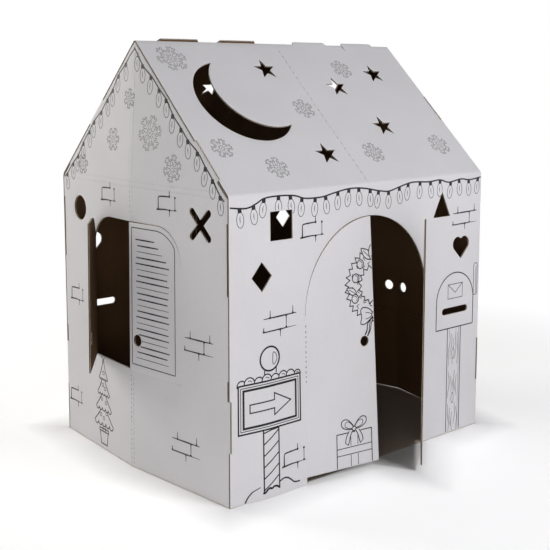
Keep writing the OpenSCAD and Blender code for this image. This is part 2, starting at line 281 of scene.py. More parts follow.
def long_sheet_loops(p):
    """Outline of a long sheet laid flat, and its holes. u runs along the wall and v
    from the floor up the wall and on up the roof slope. The cut round the door leaves
    is part of the outline, because it starts at the floor."""
    w, j, k = p.half_w, p.joint, p.kerf
    low, high = 118 - 0.3, 228 + 0.3
    root = p.roof_shift + p.slope - p.ridge_cut
    top = p.roof_shift + p.slope + p.tab
    fold_top = p.spring - 2 * k
    door = [[-w, 0], [-p.door, 0], [-p.door, p.lift], [-k / 2, p.lift]]
    left_arch = arc(0, p.spring, p.door - k, 90.22, 180, 30)
    right_arch = arc(0, p.spring, p.door - k, 0, 89.78, 30)
    crown = arc(0, p.spring, p.door, 180, 0, 60)
    step = [[-p.door + k, fold_top], [-p.door, fold_top]]
    other = [[p.door, fold_top], [p.door - k, fold_top]]
    rest = [[k / 2, p.lift], [p.door, p.lift], [p.door, 0], [w, 0],
            [w, low], [w - j, low], [w - j, high], [w, high]]
    r0, r1 = p.roof_shift + 184.7, p.roof_shift + 268.3
    rest += [[w, r0], [w - j, r0], [w - j, r1], [w, r1], [w, root]]
    for start in (231, 60):
        rest += [[start + 116, root], [start + 110, top], [start + 6, top], [start, root]]
    l0, l1 = p.roof_shift + 45.7, p.roof_shift + 156.3
    rest += [[-w, root], [-w, l1], [-w + j, l1], [-w + j, l0], [-w, l0],
             [-w, high], [-w + j, high], [-w + j, low], [-w, low]]
    outline = np.vstack((door, left_arch, step, crown, other, right_arch, rest))
    r = p.roof_shift
    holes = [
        rectangle(-297, 553, -235, 615),
        np.array([[-294.5, 480.5], [-321.5, 512.5], [-348.5, 480.5], [-321.5, 448.5]]),
        np.array([[225.5, 554], [288.5, 554], [257, 616.5]]),
        heart(332.5, 442),
        capsule(313.5, 314, 97, 17),
        circle(-31.25, 298, 12), circle(31.25, 298, 12),
        moon(-210, r + 269),
    ]
    stars = ((-83, 370), (113, 309), (-66, 97), (275, 354), (177, 173))
    holes += [star(x, r + s) for x, s in stars]
    holes += [rectangle(-0.6, r + s - 3, 0.6, r + s + 3) for s in range(18, 447, 18)]
    return [divided(loop, EDGE_STEP) for loop in [outline] + holes]


def gable_loops(p):
    """Outline and holes of a gable sheet seen from outside. u runs from the rear edge
    to the front edge of the left gable, v is the height. The cut round the shutters
    is one closed hole."""
    e, j, k = p.half_d, p.joint, p.kerf
    c, s = math.cos(p.pitch), math.sin(p.pitch)

    def half(tab, tab_len):
        """Foot, side tabs and slope of one half, to the end of its roof tab."""
        def roof(along, deep):
            return [e - along * c - deep * s, p.wall + along * s - deep * c]
        deep = j + 3
        side = [[e - j, 0], [e - j, 118], [e, 118], [e, 228], [e - deep, 228], [e - deep, 271],
                [e - j, 271], [e - j, 449], [e - deep, 449], [e - deep, 599], [e - j, 599]]
        slope = [roof((j - deep * s) / c, deep), roof(46, deep)]
        if tab > 46:
            slope += [roof(46, j), roof(tab, j)]
        return side + slope + [roof(tab, 0), roof(tab + tab_len, 0), roof(tab + tab_len, j)]

    near = half(46, 110)
    far = [[-u, v] for u, v in half(185, 83)][::-1]
    apex = [[0, p.ridge - j / c]]
    outline = np.array(near + apex + far, float)

    win, r, inner = p.window, p.corner, p.corner - k
    spring = p.head - r
    fold_top = spring - 2 * k
    flat = win - r
    foot = p.sill + k
    shutter_right = np.vstack((arc(flat, spring, inner, 90, 0, 20),
                               [[win - k, fold_top], [win, fold_top]]))
    around = np.vstack((arc(flat, spring, r, 0, 90, 20), arc(-flat, spring, r, 90, 180, 20)))
    shutter_left = np.vstack(([[-win, fold_top], [-win + k, fold_top]],
                              arc(-flat, spring, inner, 180, 90, 20)))
    cut = np.vstack(([[-win, p.sill], [win, p.sill], [win, foot], [k / 2, foot],
                      [k / 2, p.head - k]], shutter_right, around, shutter_left,
                     [[-k / 2, p.head - k], [-k / 2, foot], [-win, foot]]))
    holes = [cut, circle(-245, 578, 30), cross(242, 588),
             circle(27.5, 303, 13.5), circle(-27.5, 303, 13.5)]
    return [divided(loop, EDGE_STEP) for loop in [outline] + holes]


def sides_of(loops):
    """Start and end points of every side of all the loops."""
    start = np.vstack(loops)
    end = np.vstack([np.roll(loop, -1, axis=0) for loop in loops])
    return start, end


def inside(points, loops):
    """True where a ray to the right crosses the loops an odd number of times."""
    a, b = sides_of(loops)
    found = np.zeros(len(points), bool)
    rise = np.where(b[:, 1] == a[:, 1], 1.0, b[:, 1] - a[:, 1])
    for i in range(0, len(points), 1500):
        x, y = points[i:i + 1500, :1], points[i:i + 1500, 1:]
        spans = (a[:, 1] > y) != (b[:, 1] > y)
        meet = a[:, 0] + (b[:, 0] - a[:, 0]) * (y - a[:, 1]) / rise
        found[i:i + 1500] = np.sum(spans & (x < meet), axis=1) % 2 == 1
    return found


def edge_distance(points, loops):
    """Distance from each point to the nearest cut edge."""
    a, b = sides_of(loops)
    d = b - a
    square = np.maximum(np.sum(d * d, axis=1), 1e-9)
    found = np.empty(len(points))
    for i in range(0, len(points), 1500):
        q = points[i:i + 1500, None, :] - a
        t = np.clip(np.sum(q * d, axis=2) / square, 0, 1)
        found[i:i + 1500] = np.sqrt(np.min(np.sum((q - t[..., None] * d) ** 2, axis=2), axis=1))
    return found


# folding the flat sheets

def swing_path(d, start, stop, bend):
    """Distance along and out for a strip that leaves its fold line at the angle start,
    turns evenly to the angle stop over the length bend and goes on straight."""
    rate = (stop - start) / bend
    rate = np.where(np.abs(rate) < 1e-6, 1e-6, rate)
    t = np.minimum(d, bend)
    now = start + rate * t
    along = (np.sin(now) - np.sin(start)) / rate + (d - t) * np.cos(now)
    out = (np.cos(start) - np.cos(now)) / rate + (d - t) * np.sin(now)
    return along, out, now


def fold_long_sheet(p, flat, height, turned_round):
    """Place of flat points of a long sheet, height above its outer face. The section is
    a wall, an arc and a slope. A leaf point goes round its fold line by its swing. Both
    panels dish inwards by a sum of slow waves that vanishes at the ends, and the front
    wall's foot swells by a smooth step on each side of the door's left fold."""
    u, v = flat[:, 0], flat[:, 1]
    a = np.clip((v - p.fold_low) / p.eave, 0, p.turn)
    s = np.maximum(v - p.fold_high, 0)
    x = u.copy()
    y = -p.half_d + p.eave * (1 - np.cos(a)) + s * math.cos(p.pitch)
    z = np.minimum(v, p.fold_low) + p.eave * np.sin(a) + s * math.sin(p.pitch)
    nx, ny, nz = np.zeros_like(u), -np.cos(a), np.sin(a)

    arch = u ** 2 + np.maximum(v - p.spring, 0) ** 2 <= (p.door - p.kerf / 2) ** 2
    leaf = (np.abs(u) < p.door - 1e-4) & (v > p.lift - 0.1) & (v < p.spring + p.door) & (
        arch | (v <= p.spring))
    top, foot, right = (-0.003,) * 3 if turned_round else p.leaf_turns
    side = np.where(u < 0, -1.0, 1.0)
    ease = np.clip((v - p.lift) / (p.spring + p.door - p.lift), 0, 1)
    swing = np.where(u < 0, foot + (top - foot) * ease, right)
    along, out, now = swing_path(p.door - np.abs(u), 0.0, swing, 4.0)
    x = np.where(leaf, side * (p.door - along), x)
    y = np.where(leaf, -p.half_d - out, y)
    nx = np.where(leaf, side * np.sin(now), nx)
    ny = np.where(leaf, -np.cos(now), ny)

    held = np.where(leaf, side * p.door, u)
    near, far = np.clip((p.half_w + held) / 106, 0, 1), np.clip(-held / p.door, 0, 1)
    swell = (3 - 2 * near) * near ** 2 * (3 - 2 * far) * far ** 2 * np.clip(1 - v / 640, 0, 1)
    y -= swell * (0.0 if turned_round else p.bulge)

    ends = 1 - (u / p.half_w) ** 4
    roof = v > p.fold_low
    up = np.where(roof, (v - p.roof_shift) / p.slope, v / p.wall)
    hold = np.clip(np.sin(np.pi * np.clip(up, 0, 1)), 0, 1) ** 0.6
    wave = 0.55 + 0.25 * np.sin(u / 121.0 + 0.7) + 0.2 * np.sin(v / 97.0 + u / 260.0)
    dish = -p.sag * ends * hold * np.where(leaf, 0.0, wave)
    middle = -0.5 * np.exp(-(u / 3.0) ** 2) * np.where(leaf, 0.0, 1.0)
    lift = height + dish + middle
    points = np.column_stack((x + nx * lift, y + ny * lift, z + nz * lift))
    if turned_round:
        points[:, :2] *= -1
    return points + p.stand


def fold_gable(p, flat, height, turned_round):
    """Place of flat points of a gable sheet, height above its outer face. Its bow is
    1 - |y| / half depth up to the eaves and falls to nothing at the apex; from the foot
    to the window's top it also loses a part evenly. The creases are rounded with the
    square root of a sum of squares. A shutter point goes round its fold line by its
    swing, added to the lean of the board there. The right gable's foot stands a little
    off the floor in its middle."""
    u, z = flat[:, 0], flat[:, 1]
    y = -u
    full = p.bows[1] if turned_round else p.bows[0]
    near_turn, far_turn = (-0.003, -0.003) if turned_round else p.shutter_turns

    def board(y, z):
        sharp = np.sqrt(y ** 2 + 16.0)
        over = z - p.wall
        round_over = np.sqrt(over ** 2 + 64.0)
        part = 1 - (sharp - 4.0) / p.half_d - 0.5 * (over + round_over) / p.rise
        loss = p.taper / p.head
        bow = full * (1 - loss * np.minimum(z, p.head))
        lean = bow * y / sharp / p.half_d
        tip = bow * 0.5 * (1 + over / round_over) / p.rise + full * loss * part * (z < p.head)
        return -p.half_w - bow * part, lean, tip

    x, lean, tip = board(y, z)
    size = np.sqrt(1 + lean ** 2 + tip ** 2)
    nx, ny, nz = -1 / size, lean / size, tip / size

    flat_top = p.window - p.corner
    rounded = np.hypot(np.maximum(np.abs(u) - flat_top, 0), np.maximum(z - p.head + p.corner, 0))
    leaf = (np.abs(u) < p.window - 1e-4) & (z > p.sill + p.kerf / 2) & (
        rounded < p.corner - p.kerf / 2)
    hinge, hinge_lean, _ = board(np.full_like(y, -p.window), z)
    start = np.arctan(np.abs(hinge_lean))
    swing = np.where(u > 0, near_turn, far_turn)
    away = (p.window - np.abs(u)) / np.cos(start)
    along, out, now = swing_path(away, start, start + swing, 4.0)
    side = np.where(u > 0, -1.0, 1.0)
    x = np.where(leaf, hinge - out, x)
    y = np.where(leaf, side * (p.window - along), y)
    nx = np.where(leaf, -np.cos(now), nx)
    ny = np.where(leaf, side * np.sin(now), ny)
    nz = np.where(leaf, 0.0, nz)

    groove = (np.exp(-((np.abs(u) - 5.0) / 1.6) ** 2)
              + np.exp(-((np.abs(z - p.wall) - 6.0) / 1.6) ** 2))
    lift = height - 0.35 * np.where(leaf, 0.0, groove)
    if turned_round:
        z = z + 2.4 * np.exp(-(u / 130.0) ** 2) * np.clip(1 - z / 90.0, 0, 1)
    points = np.column_stack((x + nx * lift, y + ny * lift, np.maximum(z + nz * lift, 0)))
    if turned_round:
        points[:, :2] *= -1
    return points + p.stand


# board meshes

def grid_points(across, up, loops, clear):
    """Grid points that lie inside the outline and keep clear of every cut edge."""
    g = np.stack(np.meshgrid(across, up), axis=-1).reshape(-1, 2)
    g = g[inside(g, loops)]
    return g[edge_distance(g, loops) > clear]


def rim_points(loops, inset):
    """One row of points just inside every cut edge."""
    rows = []
    for loop in loops:
        way = np.roll(loop, -1, axis=0) - np.roll(loop, 1, axis=0)
        way /= np.maximum(np.hypot(*way.T), 1e-9)[:, None]
        normal = np.column_stack((-way[:, 1], way[:, 0]))
        rows += [loop + inset * normal, loop - inset * normal]
    row = np.vstack(rows)
    row = row[inside(row, loops)]
    return row[edge_distance(row, loops) > 0.85 * inset]


def cut_sheet(loops, across, up):
    """Flat triangles of a sheet: its outline with a fine grid inside it, the sides of
    its cut edges and the distance of every point from them."""
    rim = np.vstack(loops)
    inner = np.vstack((rim_points(loops, PRESSED), grid_points(across, up, loops, 2.6)))
    count = np.cumsum([0] + [len(loop) for loop in loops])
    sides = [np.column_stack((np.arange(a, b), np.roll(np.arange(a, b), -1)))
             for a, b in zip(count[:-1], count[1:])]
    verts, _, faces, *_ = delaunay_2d_cdt(np.vstack((rim, inner)).tolist(),
                                          np.vstack(sides).tolist(), [], 0, 1e-4, False)
    flat = np.array([v[:] for v in verts])
    tris = np.array(faces)
    tris = tris[inside(flat[tris].mean(axis=1), loops)]
    e1, e2 = flat[tris[:, 1]] - flat[tris[:, 0]], flat[tris[:, 2]] - flat[tris[:, 0]]
    area = e1[:, 0] * e2[:, 1] - e1[:, 1] * e2[:, 0]
    tris[area < 0] = tris[area < 0][:, ::-1]
    edges = np.vstack((tris[:, [0, 1]], tris[:, [1, 2]], tris[:, [2, 0]]))
    key = np.sort(edges, axis=1) @ np.array([len(flat), 1])
    _, where, uses = np.unique(key, return_index=True, return_counts=True)
    return flat, tris, edges[where[uses == 1]], edge_distance(flat, loops)


def board_mesh(name, p, sheet, fold, turned_round, materials):
    """Closed mesh of one sheet of board. Outer and inner face are the same triangles
    on the outer face and a board's thickness under it, and the cut edges join them.
    Close to a cut both faces are pressed down, as a die leaves them. A cut edge keeps
    how far it runs along the flutes, which are upright."""
    flat, tris, cut, away = sheet
    press = PRESS_DEPTH * np.clip(1 - away / PRESSED, 0, 1) ** 2
    outer = fold(p, flat, -LINER_INSET - press, turned_round)
    back = fold(p, flat, -p.board + press, turned_round)
    n = len(flat)
    walls = np.column_stack((cut[:, 1], cut[:, 0], cut[:, 0] + n, cut[:, 1] + n))
    points = np.vstack((outer, back)) * MM
    corners = np.concatenate((tris.ravel(), (tris[:, ::-1] + n).ravel(), walls.ravel()))
    sizes = np.concatenate((np.full(2 * len(tris), 3), np.full(len(walls), 4)))
    mesh = mesh_from(name, points, corners, sizes)

    both = np.vstack((flat, flat)) * MM
    uv = both[corners]
    first = 6 * len(tris)
    depth = np.tile([0.0, 0.0, 1.0, 1.0], len(walls)) * p.board * MM
    uv[first:] = np.column_stack((both[corners[first:], 0], depth))
    mesh.uv_layers.new(name="sheet").data.foreach_set("uv", uv.astype(np.float32).ravel())
    mesh.attributes.new("rim", "FLOAT", "POINT").data.foreach_set(
        "value", np.tile(np.minimum(away, 12.0), 2).astype(np.float32))
    way = flat[cut[:, 1]] - flat[cut[:, 0]]
    hollow = np.abs(way[:, 1]) / np.maximum(np.hypot(*way.T), 1e-9)
    mesh.attributes.new("hollow", "FLOAT", "FACE").data.foreach_set(
        "value", np.concatenate((np.zeros(2 * len(tris)), hollow)).astype(np.float32))
    slots = np.repeat([WHITE_LINER, KRAFT_LINER, RAW_EDGE], [len(tris), len(tris), len(walls)])
    mesh.polygons.foreach_set("material_index", slots.astype(np.int32))
    for material in materials:
        mesh.materials.append(material)
    mesh.set_sharp_from_angle(angle=math.radians(40))
    return add_piece(name, mesh)


def mesh_from(name, points, corners, sizes):
    """Mesh from points, the corners of all faces in a row and the number of corners of
    each face."""
    mesh = bpy.data.meshes.new(name)
    mesh.vertices.add(len(points))
    mesh.vertices.foreach_set("co", points.astype(np.float32).ravel())
    mesh.loops.add(len(corners))
    mesh.loops.foreach_set("vertex_index", corners.astype(np.int32))
    mesh.polygons.add(len(sizes))
    starts = np.cumsum(sizes) - sizes
    mesh.polygons.foreach_set("loop_start", starts.astype(np.int32))
    mesh.polygons.foreach_set("use_smooth", np.ones(len(sizes), bool))
    mesh.update(calc_edges=True)
    mesh.validate()
    return mesh


def place_object(name, data):
    """New object in the scene, in the place of an old one of that name."""
    old = bpy.data.objects.get(name)
    if old is not None:
        bpy.data.objects.remove(old, do_unlink=True)
    made = bpy.data.objects.new(name, data)
    bpy.context.scene.collection.objects.link(made)
    return made


def add_piece(name, mesh):
    """A piece of the house, riding on its only body."""
    piece = place_object(name, mesh)
    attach(piece, "root")
    return piece


# the print

class Strokes:
    """Pen strokes on a flat sheet: rows of points with the width of the line at each."""

    def __init__(self, plan):
        self.p = plan
        self.rows = []

    def curve(self, points, width, step=3.0):
        """A stroke along a polyline, with new points at even steps of its length."""
        points = np.asarray(points, float)
        span = np.concatenate(([0], np.cumsum(np.hypot(*np.diff(points, axis=0).T))))
        count = max(2, int(math.ceil(span[-1] / step)) + 1)
        t = np.linspace(0, span[-1], count)
        x, y = np.interp(t, span, points[:, 0]), np.interp(t, span, points[:, 1])
        width = np.atleast_1d(np.asarray(width, float))
        width = np.interp(t / span[-1], np.linspace(0, 1, len(width)), width)
        self.rows.append((np.column_stack((x, y)), width))

    def corners(self, points, width, closed=False, step=3.0):
        """Straight strokes from point to point that overlap at the corners."""
        points = [np.asarray(q, float) for q in points]
        pairs = list(zip(points, points[1:] + points[:1]))
        for a, b in (pairs if closed else pairs[:-1]):
            way = (b - a) / max(np.hypot(*(b - a)), 1e-9) * width / 2
            self.curve([a - way, b + way], width, step)

    def flow(self, points, width, closed=False, step=2.0):
        """A smooth stroke through a few points, by the cubic of Catmull and Rom."""
        path = smooth(points, closed)
        self.curve(path, width, step)
        return path

    def oval(self, cx, cy, rx, ry, width, degrees=0.0):
        ring = turned(arc(0, 0, 1, 0, 360, 36) * (rx, ry), degrees, cx, cy)
        self.curve(ring, width, 2.5)
        return ring[:-1]

    def dot(self, cx, cy, r):
        """A filled disc: one upright stroke whose width is the chord of the circle."""
        t = np.linspace(-0.995, 0.995, 11)
        middle = np.column_stack((np.full(11, cx), cy + r * t))
        self.curve(middle, 2 * r * np.sqrt(1 - t * t), r / 4)

    def block(self, cx, cy, w, h, degrees=0.0):
        """A filled square-ended block."""
        self.curve(turned([[0, -h / 2], [0, h / 2]], degrees, cx, cy), w)

    def cover(self, loop, since):
        """Take the part inside a closed outline off the strokes drawn since a given one."""
        late = self.rows[since:]
        del self.rows[since:]
        for points, width in late:
            for a, b in runs(~inside(points, [np.asarray(loop, float)])):
                self.rows.append((points[a:b], width[a:b]))

    def hollow(self, bars, reach, width):
        """Outline of a figure of round-ended bars: the outline of each bar without what
        lies nearer than reach to another bar's middle line."""
        start, end = bars[:, 0], bars[:, 1]
        way = end - start
        square = np.sum(way * way, axis=1)
        for i, (a, b) in enumerate(bars):
            long = math.hypot(*(b - a))
            ring = turned(capsule(0, 0, long + 2 * reach, 2 * reach),
                          math.degrees(math.atan2(*(b - a)[::-1])), *((a + b) / 2))
            ring = divided(ring, 2.0)
            ring = np.vstack((ring, ring[:1]))
            q = ring[:, None, :] - start
            t = np.clip(np.sum(q * way, axis=2) / square, 0, 1)
            away = np.hypot(*np.moveaxis(q - t[..., None] * way, 2, 0))
            away[:, i] = 99.0
            for c, d in runs(np.min(away, axis=1) > reach - 0.05):
                self.rows.append((ring[c:d], np.full(d - c, width)))


def smooth(points, closed=False):
    """Points of the cubic of Catmull and Rom through a few points."""
    q = np.asarray(points, float)
    ring = np.vstack((q[-1:], q, q[:2])) if closed else np.vstack((q[:1], q, q[-1:]))
    t = np.linspace(0, 1, 9)[:-1, None, None]
    a, b, c, d = ring[:-3], ring[1:-2], ring[2:-1], ring[3:]
    path = 0.5 * (2 * b + (c - a) * t + (2 * a - 5 * b + 4 * c - d) * t ** 2
                  + (3 * b - a - 3 * c + d) * t ** 3)
    path = path.transpose(1, 0, 2).reshape(-1, 2)
    return np.vstack((path, path[:1] if closed else ring[-2:-1]))


def runs(kept):
    """Starts and ends of the unbroken runs of two or more kept points."""
    edge = np.flatnonzero(np.diff(np.concatenate(([0], kept.astype(int), [0]))))
    return [(a, b) for a, b in zip(edge[::2], edge[1::2]) if b - a > 1]


def bulb(s, x, y, lean):
    """A lamp of the string: a filled cap, a long oval below it and a short highlight."""
    s.block(*turned([[0, -4.5]], lean, x, y)[0], 10.0, 9.6, lean)
    s.oval(*turned([[0, -24]], lean, x, y)[0], 9.2, 16.5, s.p.fine * 0.8, lean)
    s.curve(turned([[0.5, -15], [-0.8, -22], [0.3, -30]], lean, x, y), [0.6, 1.8, 0.6])


def light_string(s, path, places, lean):
    """A wire along a path, with lamps hung from it at the given lengths of the path."""
    s.curve(path, s.p.plain * 1.25)
    span = np.concatenate(([0], np.cumsum(np.hypot(*np.diff(path, axis=0).T))))
    for i, at in enumerate(places):
        bulb(s, np.interp(at, span, path[:, 0]), np.interp(at, span, path[:, 1]),
             lean * math.sin(1.9 * i + 0.6))


def snowflake(s, cx, cy, r, degrees):
    """Six arms with two pairs of slanting branches, drawn as one hollow outline round a
    six-sided ring."""
    limbs = [[[0.10, 0.0], [0.93, 0.0]]]
    for place, reach in ((0.40, 0.27), (0.68, 0.27)):
        limbs += [[[place, 0.0], [place + 0.64 * reach, side * 0.77 * reach]] for side in (-1, 1)]
    limb = np.array(limbs).reshape(-1, 2) * r
    bars = np.vstack([turned(limb, degrees + 60 * i, cx, cy) for i in range(6)])
    s.hollow(bars.reshape(-1, 2, 2), 0.062 * r, s.p.fine * 0.62)


def bricks(s, cx, cy, kind):
    """Joints between a few bricks: lines that thicken where they meet, with a blot at
    each meeting. The first kind shows two courses, the second one brick."""
    def at(points):
        return np.asarray(points, float) + (cx, cy)
    f, b = s.p.fine, s.p.plain
    if kind == 0:
        s.curve(at([[-46, 13], [46, 15]]), [f, b, b * 1.3, b, f])
        s.curve(at([[-46, -15], [46, -13]]), [b, b, b * 1.2, f, f * 0.5])
        for x, y0, y1 in ((-28, 14, 30), (36, 15, 32), (17, 14, -14), (0, -14, -30),
                          (-46, -6, -15)):
            s.curve(at([[x, y0], [x, y1]]), [b, f * 0.8])
        for x, y in ((-28, 14), (36, 16), (17, 13), (17, -12), (0, -15), (-46, -14)):
            s.dot(cx + x, cy + y, 2.7)
    else:
        s.curve(at([[-29, -14], [-29, 8], [-27, 13], [-16, 14], [10, 15]]),
                [b * 1.3, b, b * 1.2, b])
        s.curve(at([[-35, -16], [-10, -14], [36, -14]]), [b * 1.4, b * 1.2, b, f, f * 0.5])
        s.curve(at([[29, 13], [29, -13]]), f)
        for x, y0, y1 in ((10, 15, 28), (10, -14, -28)):
            s.curve(at([[x, y0], [x, y1]]), [b, f * 0.8])
        for x, y in ((10, 15), (29, 14), (-29, -14), (10, -15), (29, -13)):
            s.dot(cx + x, cy + y, 2.7)


def dashes(s, x, low, high, width, seed):
    """Short nicks of uneven length along an upright fold line, drawn in dark ink: painted shade in
    the cuts.
    """
    rng = np.random.default_rng(seed)
    z = low
    while z < high:
        long = rng.uniform(2.5, 5.5)
        s.block(x + rng.uniform(-0.3, 0.3), z + long / 2, width * rng.uniform(0.6, 1.1), long)
        z += long + rng.uniform(6, 9)


def fence_sign(s):
    """A framed board on a striped post, with snow on the board and at the foot."""
    b, f, fine = s.p.bold, s.p.plain, s.p.fine
    since = len(s.rows)
    for x in (-318, -286):
        s.corners([[x, 258], [x, 282]], f)
    ball = s.oval(-303, 304, 26, 26, b * 0.95)
    s.cover(ball, since)
    s.oval(-303, 304, 26, 26, b * 0.95)
    s.flow([[-294, 316], [-286, 311], [-284, 300], [-291, 291], [-295, 293]], fine, True)
    caps = [(x, 257 + rise, r) for x, rise, r in (
        (-377, 0, 11), (-357, 2, 13), (-333, 0, 12), (-312, 2, 13), (-289, 0, 12), (-267, 2, 12),
        (-246, 1, 12), (-226, 0, 9))]
    for x, z, r in caps:
        cap = arc(x, z, r, -20, 200, 20)
        s.cover(cap, since)
        s.curve(cap, f, 1.5)
    for x, z, r in caps[1::2]:
        s.curve(arc(x, z - 1, r * 0.55, 30, 120, 8), fine, 1.5)
    board = rectangle(-385, 152, -218, 257)
    s.cover(board, since)
    s.corners(board, b * 0.9, True)
    s.corners(rectangle(-379, 158, -224, 251), fine, True)
    s.corners(rectangle(-372, 164, -231, 245), b * 1.2, True)
    for x in (-323, -281):
        s.corners([[x, 17], [x, 150]], f * 1.2)
    for i in range(6):
        z = 20 + 25 * i
        s.curve([[-322, z], [-302, min(z + 12, 149)], [-282, min(z + 26, 150)]], f)
    s.flow([[-326, 15], [-321, 14], [-313, 20], [-307, 22], [-302, 20], [-296, 23], [-288, 22],
            [-281, 17]], b * 1.1)
    s.flow([[-370, 2], [-363, 13], [-353, 22], [-342, 26], [-332, 29]], [f * 1.3, f, fine])
    s.flow([[-280, 30], [-268, 34], [-257, 32], [-247, 25], [-238, 18], [-222, 16]], f * 1.2)
    arrow = [[-356, 195], [-292, 195], [-292, 180], [-246, 204], [-292, 228], [-292, 213],
             [-356, 213]]
    s.corners(arrow, f, True)


def gift(s):
    """A wrapped box with a ribbon round it and a bow on top."""
    f, b, cx, cz = s.p.fine, s.p.plain * 0.85, -69.0, 103.0
    left, right, top = -118.0, -19.0, 96.0
    since = len(s.rows)
    s.corners([[left, 16], [left, top], [right, top], [right, 16]], b)
    for x in (cx - 10, cx + 10):
        s.corners([[x, 16], [x, top]], f)
    band = rectangle(left, 46, right, 62)
    s.cover(band, since + 3)
    for z in (46, 62):
        s.corners([[left, z], [right, z]], f * 1.1)
    for side in (-1, 1):
        outer = np.array([[4, -3], [10, -14], [13, -24], [17, -36], [24, -27], [25, -30], [22, -17],
                          [14, -4]]) * (side, 1) + (cx, cz)
        s.cover(outer, since)
        s.flow(outer[:4], b)
        s.corners(outer[3:6:2], f)
        s.flow(outer[5:], b)
    for side in (-1, 1):
        lobe = np.array([[0, 0], [9, 15], [22, 24], [34, 21], [34, 9], [20, 1]]) * (side, 1)
        loop = smooth(lobe + (cx, cz), True)
        s.cover(loop, since)
        s.curve(loop, b, 1.5)
        s.flow(lobe * 0.66 + (cx + 2 * side, cz + 2), f, True)
    s.cover(circle(cx, cz, 5.5), since)
    s.oval(cx, cz, 5.5, 4.8, b)


def wreath(s):
    """A ring with a jagged outer and inner outline and short strokes for its leaves,
    and on it pointed leaves, berries and a bow with two tails."""
    f, b, cx, cz = s.p.fine, s.p.plain * 0.9, 0.0, 425.0
    rng = np.random.default_rng(5)
    since = len(s.rows)

    def ragged(radius, count, depth):
        turn = np.arange(count) * 360 / count + rng.uniform(-1.5, 1.5, count)
        deep = np.where(np.arange(count) % 2 == 0, depth, -depth) * rng.uniform(0.7, 1.2, count)
        a = np.radians(turn)
        return np.column_stack((cx + (radius + deep) * np.cos(a), cz + (radius + deep) * np.sin(a)))
    s.corners(ragged(79, 62, 5.5), b, True, 1.5)
    s.corners(ragged(41, 34, 4.5), b, True, 1.5)
    for i in range(34):
        a = 360 * i / 34
        middle = turned([[50 + 18 * (i % 2), 0]], a + rng.uniform(-3, 3), cx, cz)[0]
        vee = np.array([[-6, 4], [0, 0], [-5, -5]])
        s.corners(turned(vee, a + rng.uniform(-70, 70), *middle), f, False, 1.5)

    blade = np.array([[-20, 0], [-9, 8], [3, 9], [13, 5], [21, 0], [13, -5], [3, -9], [-9, -8]])
    for radius, a, lean, size in ((73, 104, 140, 1.0), (78, 90, 78, 1.05), (73, 76, 35, 1.0),
                                  (66, 188, 150, 0.8), (66, 352, 25, 0.8)):
        middle = turned([[radius, 0]], a, cx, cz)[0]
        leaf = smooth(turned(blade * size, lean, *middle), True)
        s.cover(leaf, since)
        s.curve(leaf, b, 1.5)
        rib = turned(np.array([[-16, 0], [12, 0]]) * size, lean, *middle)
        s.curve(rib, f, 1.5)
    for a, radius in ((127, 62), (206, 62), (53, 62), (334, 62), (160, 56), (20, 56)):
        x, y = turned([[radius, 0]], a, cx, cz)[0]
        s.cover(circle(x, y, 10), since)
        s.oval(x, y, 10, 10, b)
        s.curve(arc(x, y, 6, 300, 470, 12), f)

    knot = (cx, cz - 70)
    for side in (-1, 1):
        for reach in (0.0, 11.0):
            tail = np.array([[2, -4], [9 + reach, -18], [13 + reach, -34], [24 + reach, -50],
                             [17 + reach * 0.6, -36], [14 + reach * 0.6, -20], [9, -3]])
            tail = tail * (side, 1) + knot
            loop = smooth(tail, True)
            s.cover(loop, since)
            s.curve(loop, b, 1.5)
    for side in (-1, 1):
        lobe = np.array([[3, 0], [13, 14], [31, 20], [40, 14], [38, -2], [41, -16], [28, -18],
                         [12, -9]]) * (side, 1)
        loop = smooth(lobe + knot, True)
        s.cover(loop, since)
        s.curve(loop, b, 1.5)
        for way in (6, -6):
            s.flow(np.array([[7, way / 3], [16, way], [26, way * 1.2]]) * (side, 1) + knot, f)
    s.cover(circle(*knot, 7), since)
    s.oval(*knot, 7, 7.5, b)


def letter_box(s):
    """A round-topped letter box with a flag on a grained post, and a plain envelope
    over its slot."""
    b, f = s.p.plain, s.p.fine
    since = len(s.rows)
    for x in (287, 337):
        s.corners([[x, 1], [x, 268]], b * 0.9)
    s.corners([[331, 1], [331, 268]], f * 0.6)
    for i, x in enumerate((294.0, 302.0, 310.0, 318.0, 325.0)):
        z = np.linspace(2, 266, 70)
        wave = 2.6 * np.sin(z / (17 + 3 * i) + 1.7 * i) + 1.4 * np.sin(z / 9.0 + i)
        for part in ((0, 20), (23, 42), (45, 70)):
            rows = slice(part[0] + 4 * (i % 2), part[1] - 3 * (i % 3))
            s.curve(np.column_stack((x + wave, z))[rows], [f * 0.5, f * 0.9, f * 0.5])
    for z in (88, 203):
        knot = arc(0, 0, 1, 0, 360, 24) * (4.5, 14) + (310, z)
        s.cover(knot, since)
        s.curve(knot, f * 0.8, 1.5)
    flag = [[385, 343], [385, 418], [388, 424], [397, 424], [399, 419], [399, 349], [396, 343]]
    s.corners(flag, f, True)
    s.corners([[394, 346], [394, 416]], f * 0.8)
    body = np.vstack(([[243, 270]], arc(313.5, 339, 70.5, 180, 0, 40), [[384, 270]]))
    s.cover(body, since)
    s.curve(np.vstack((body, body[:1])), b)
    s.corners(rectangle(286, 345, 341, 381), f, True)
    s.corners([[286, 381], [313.5, 359], [341, 381]], f)


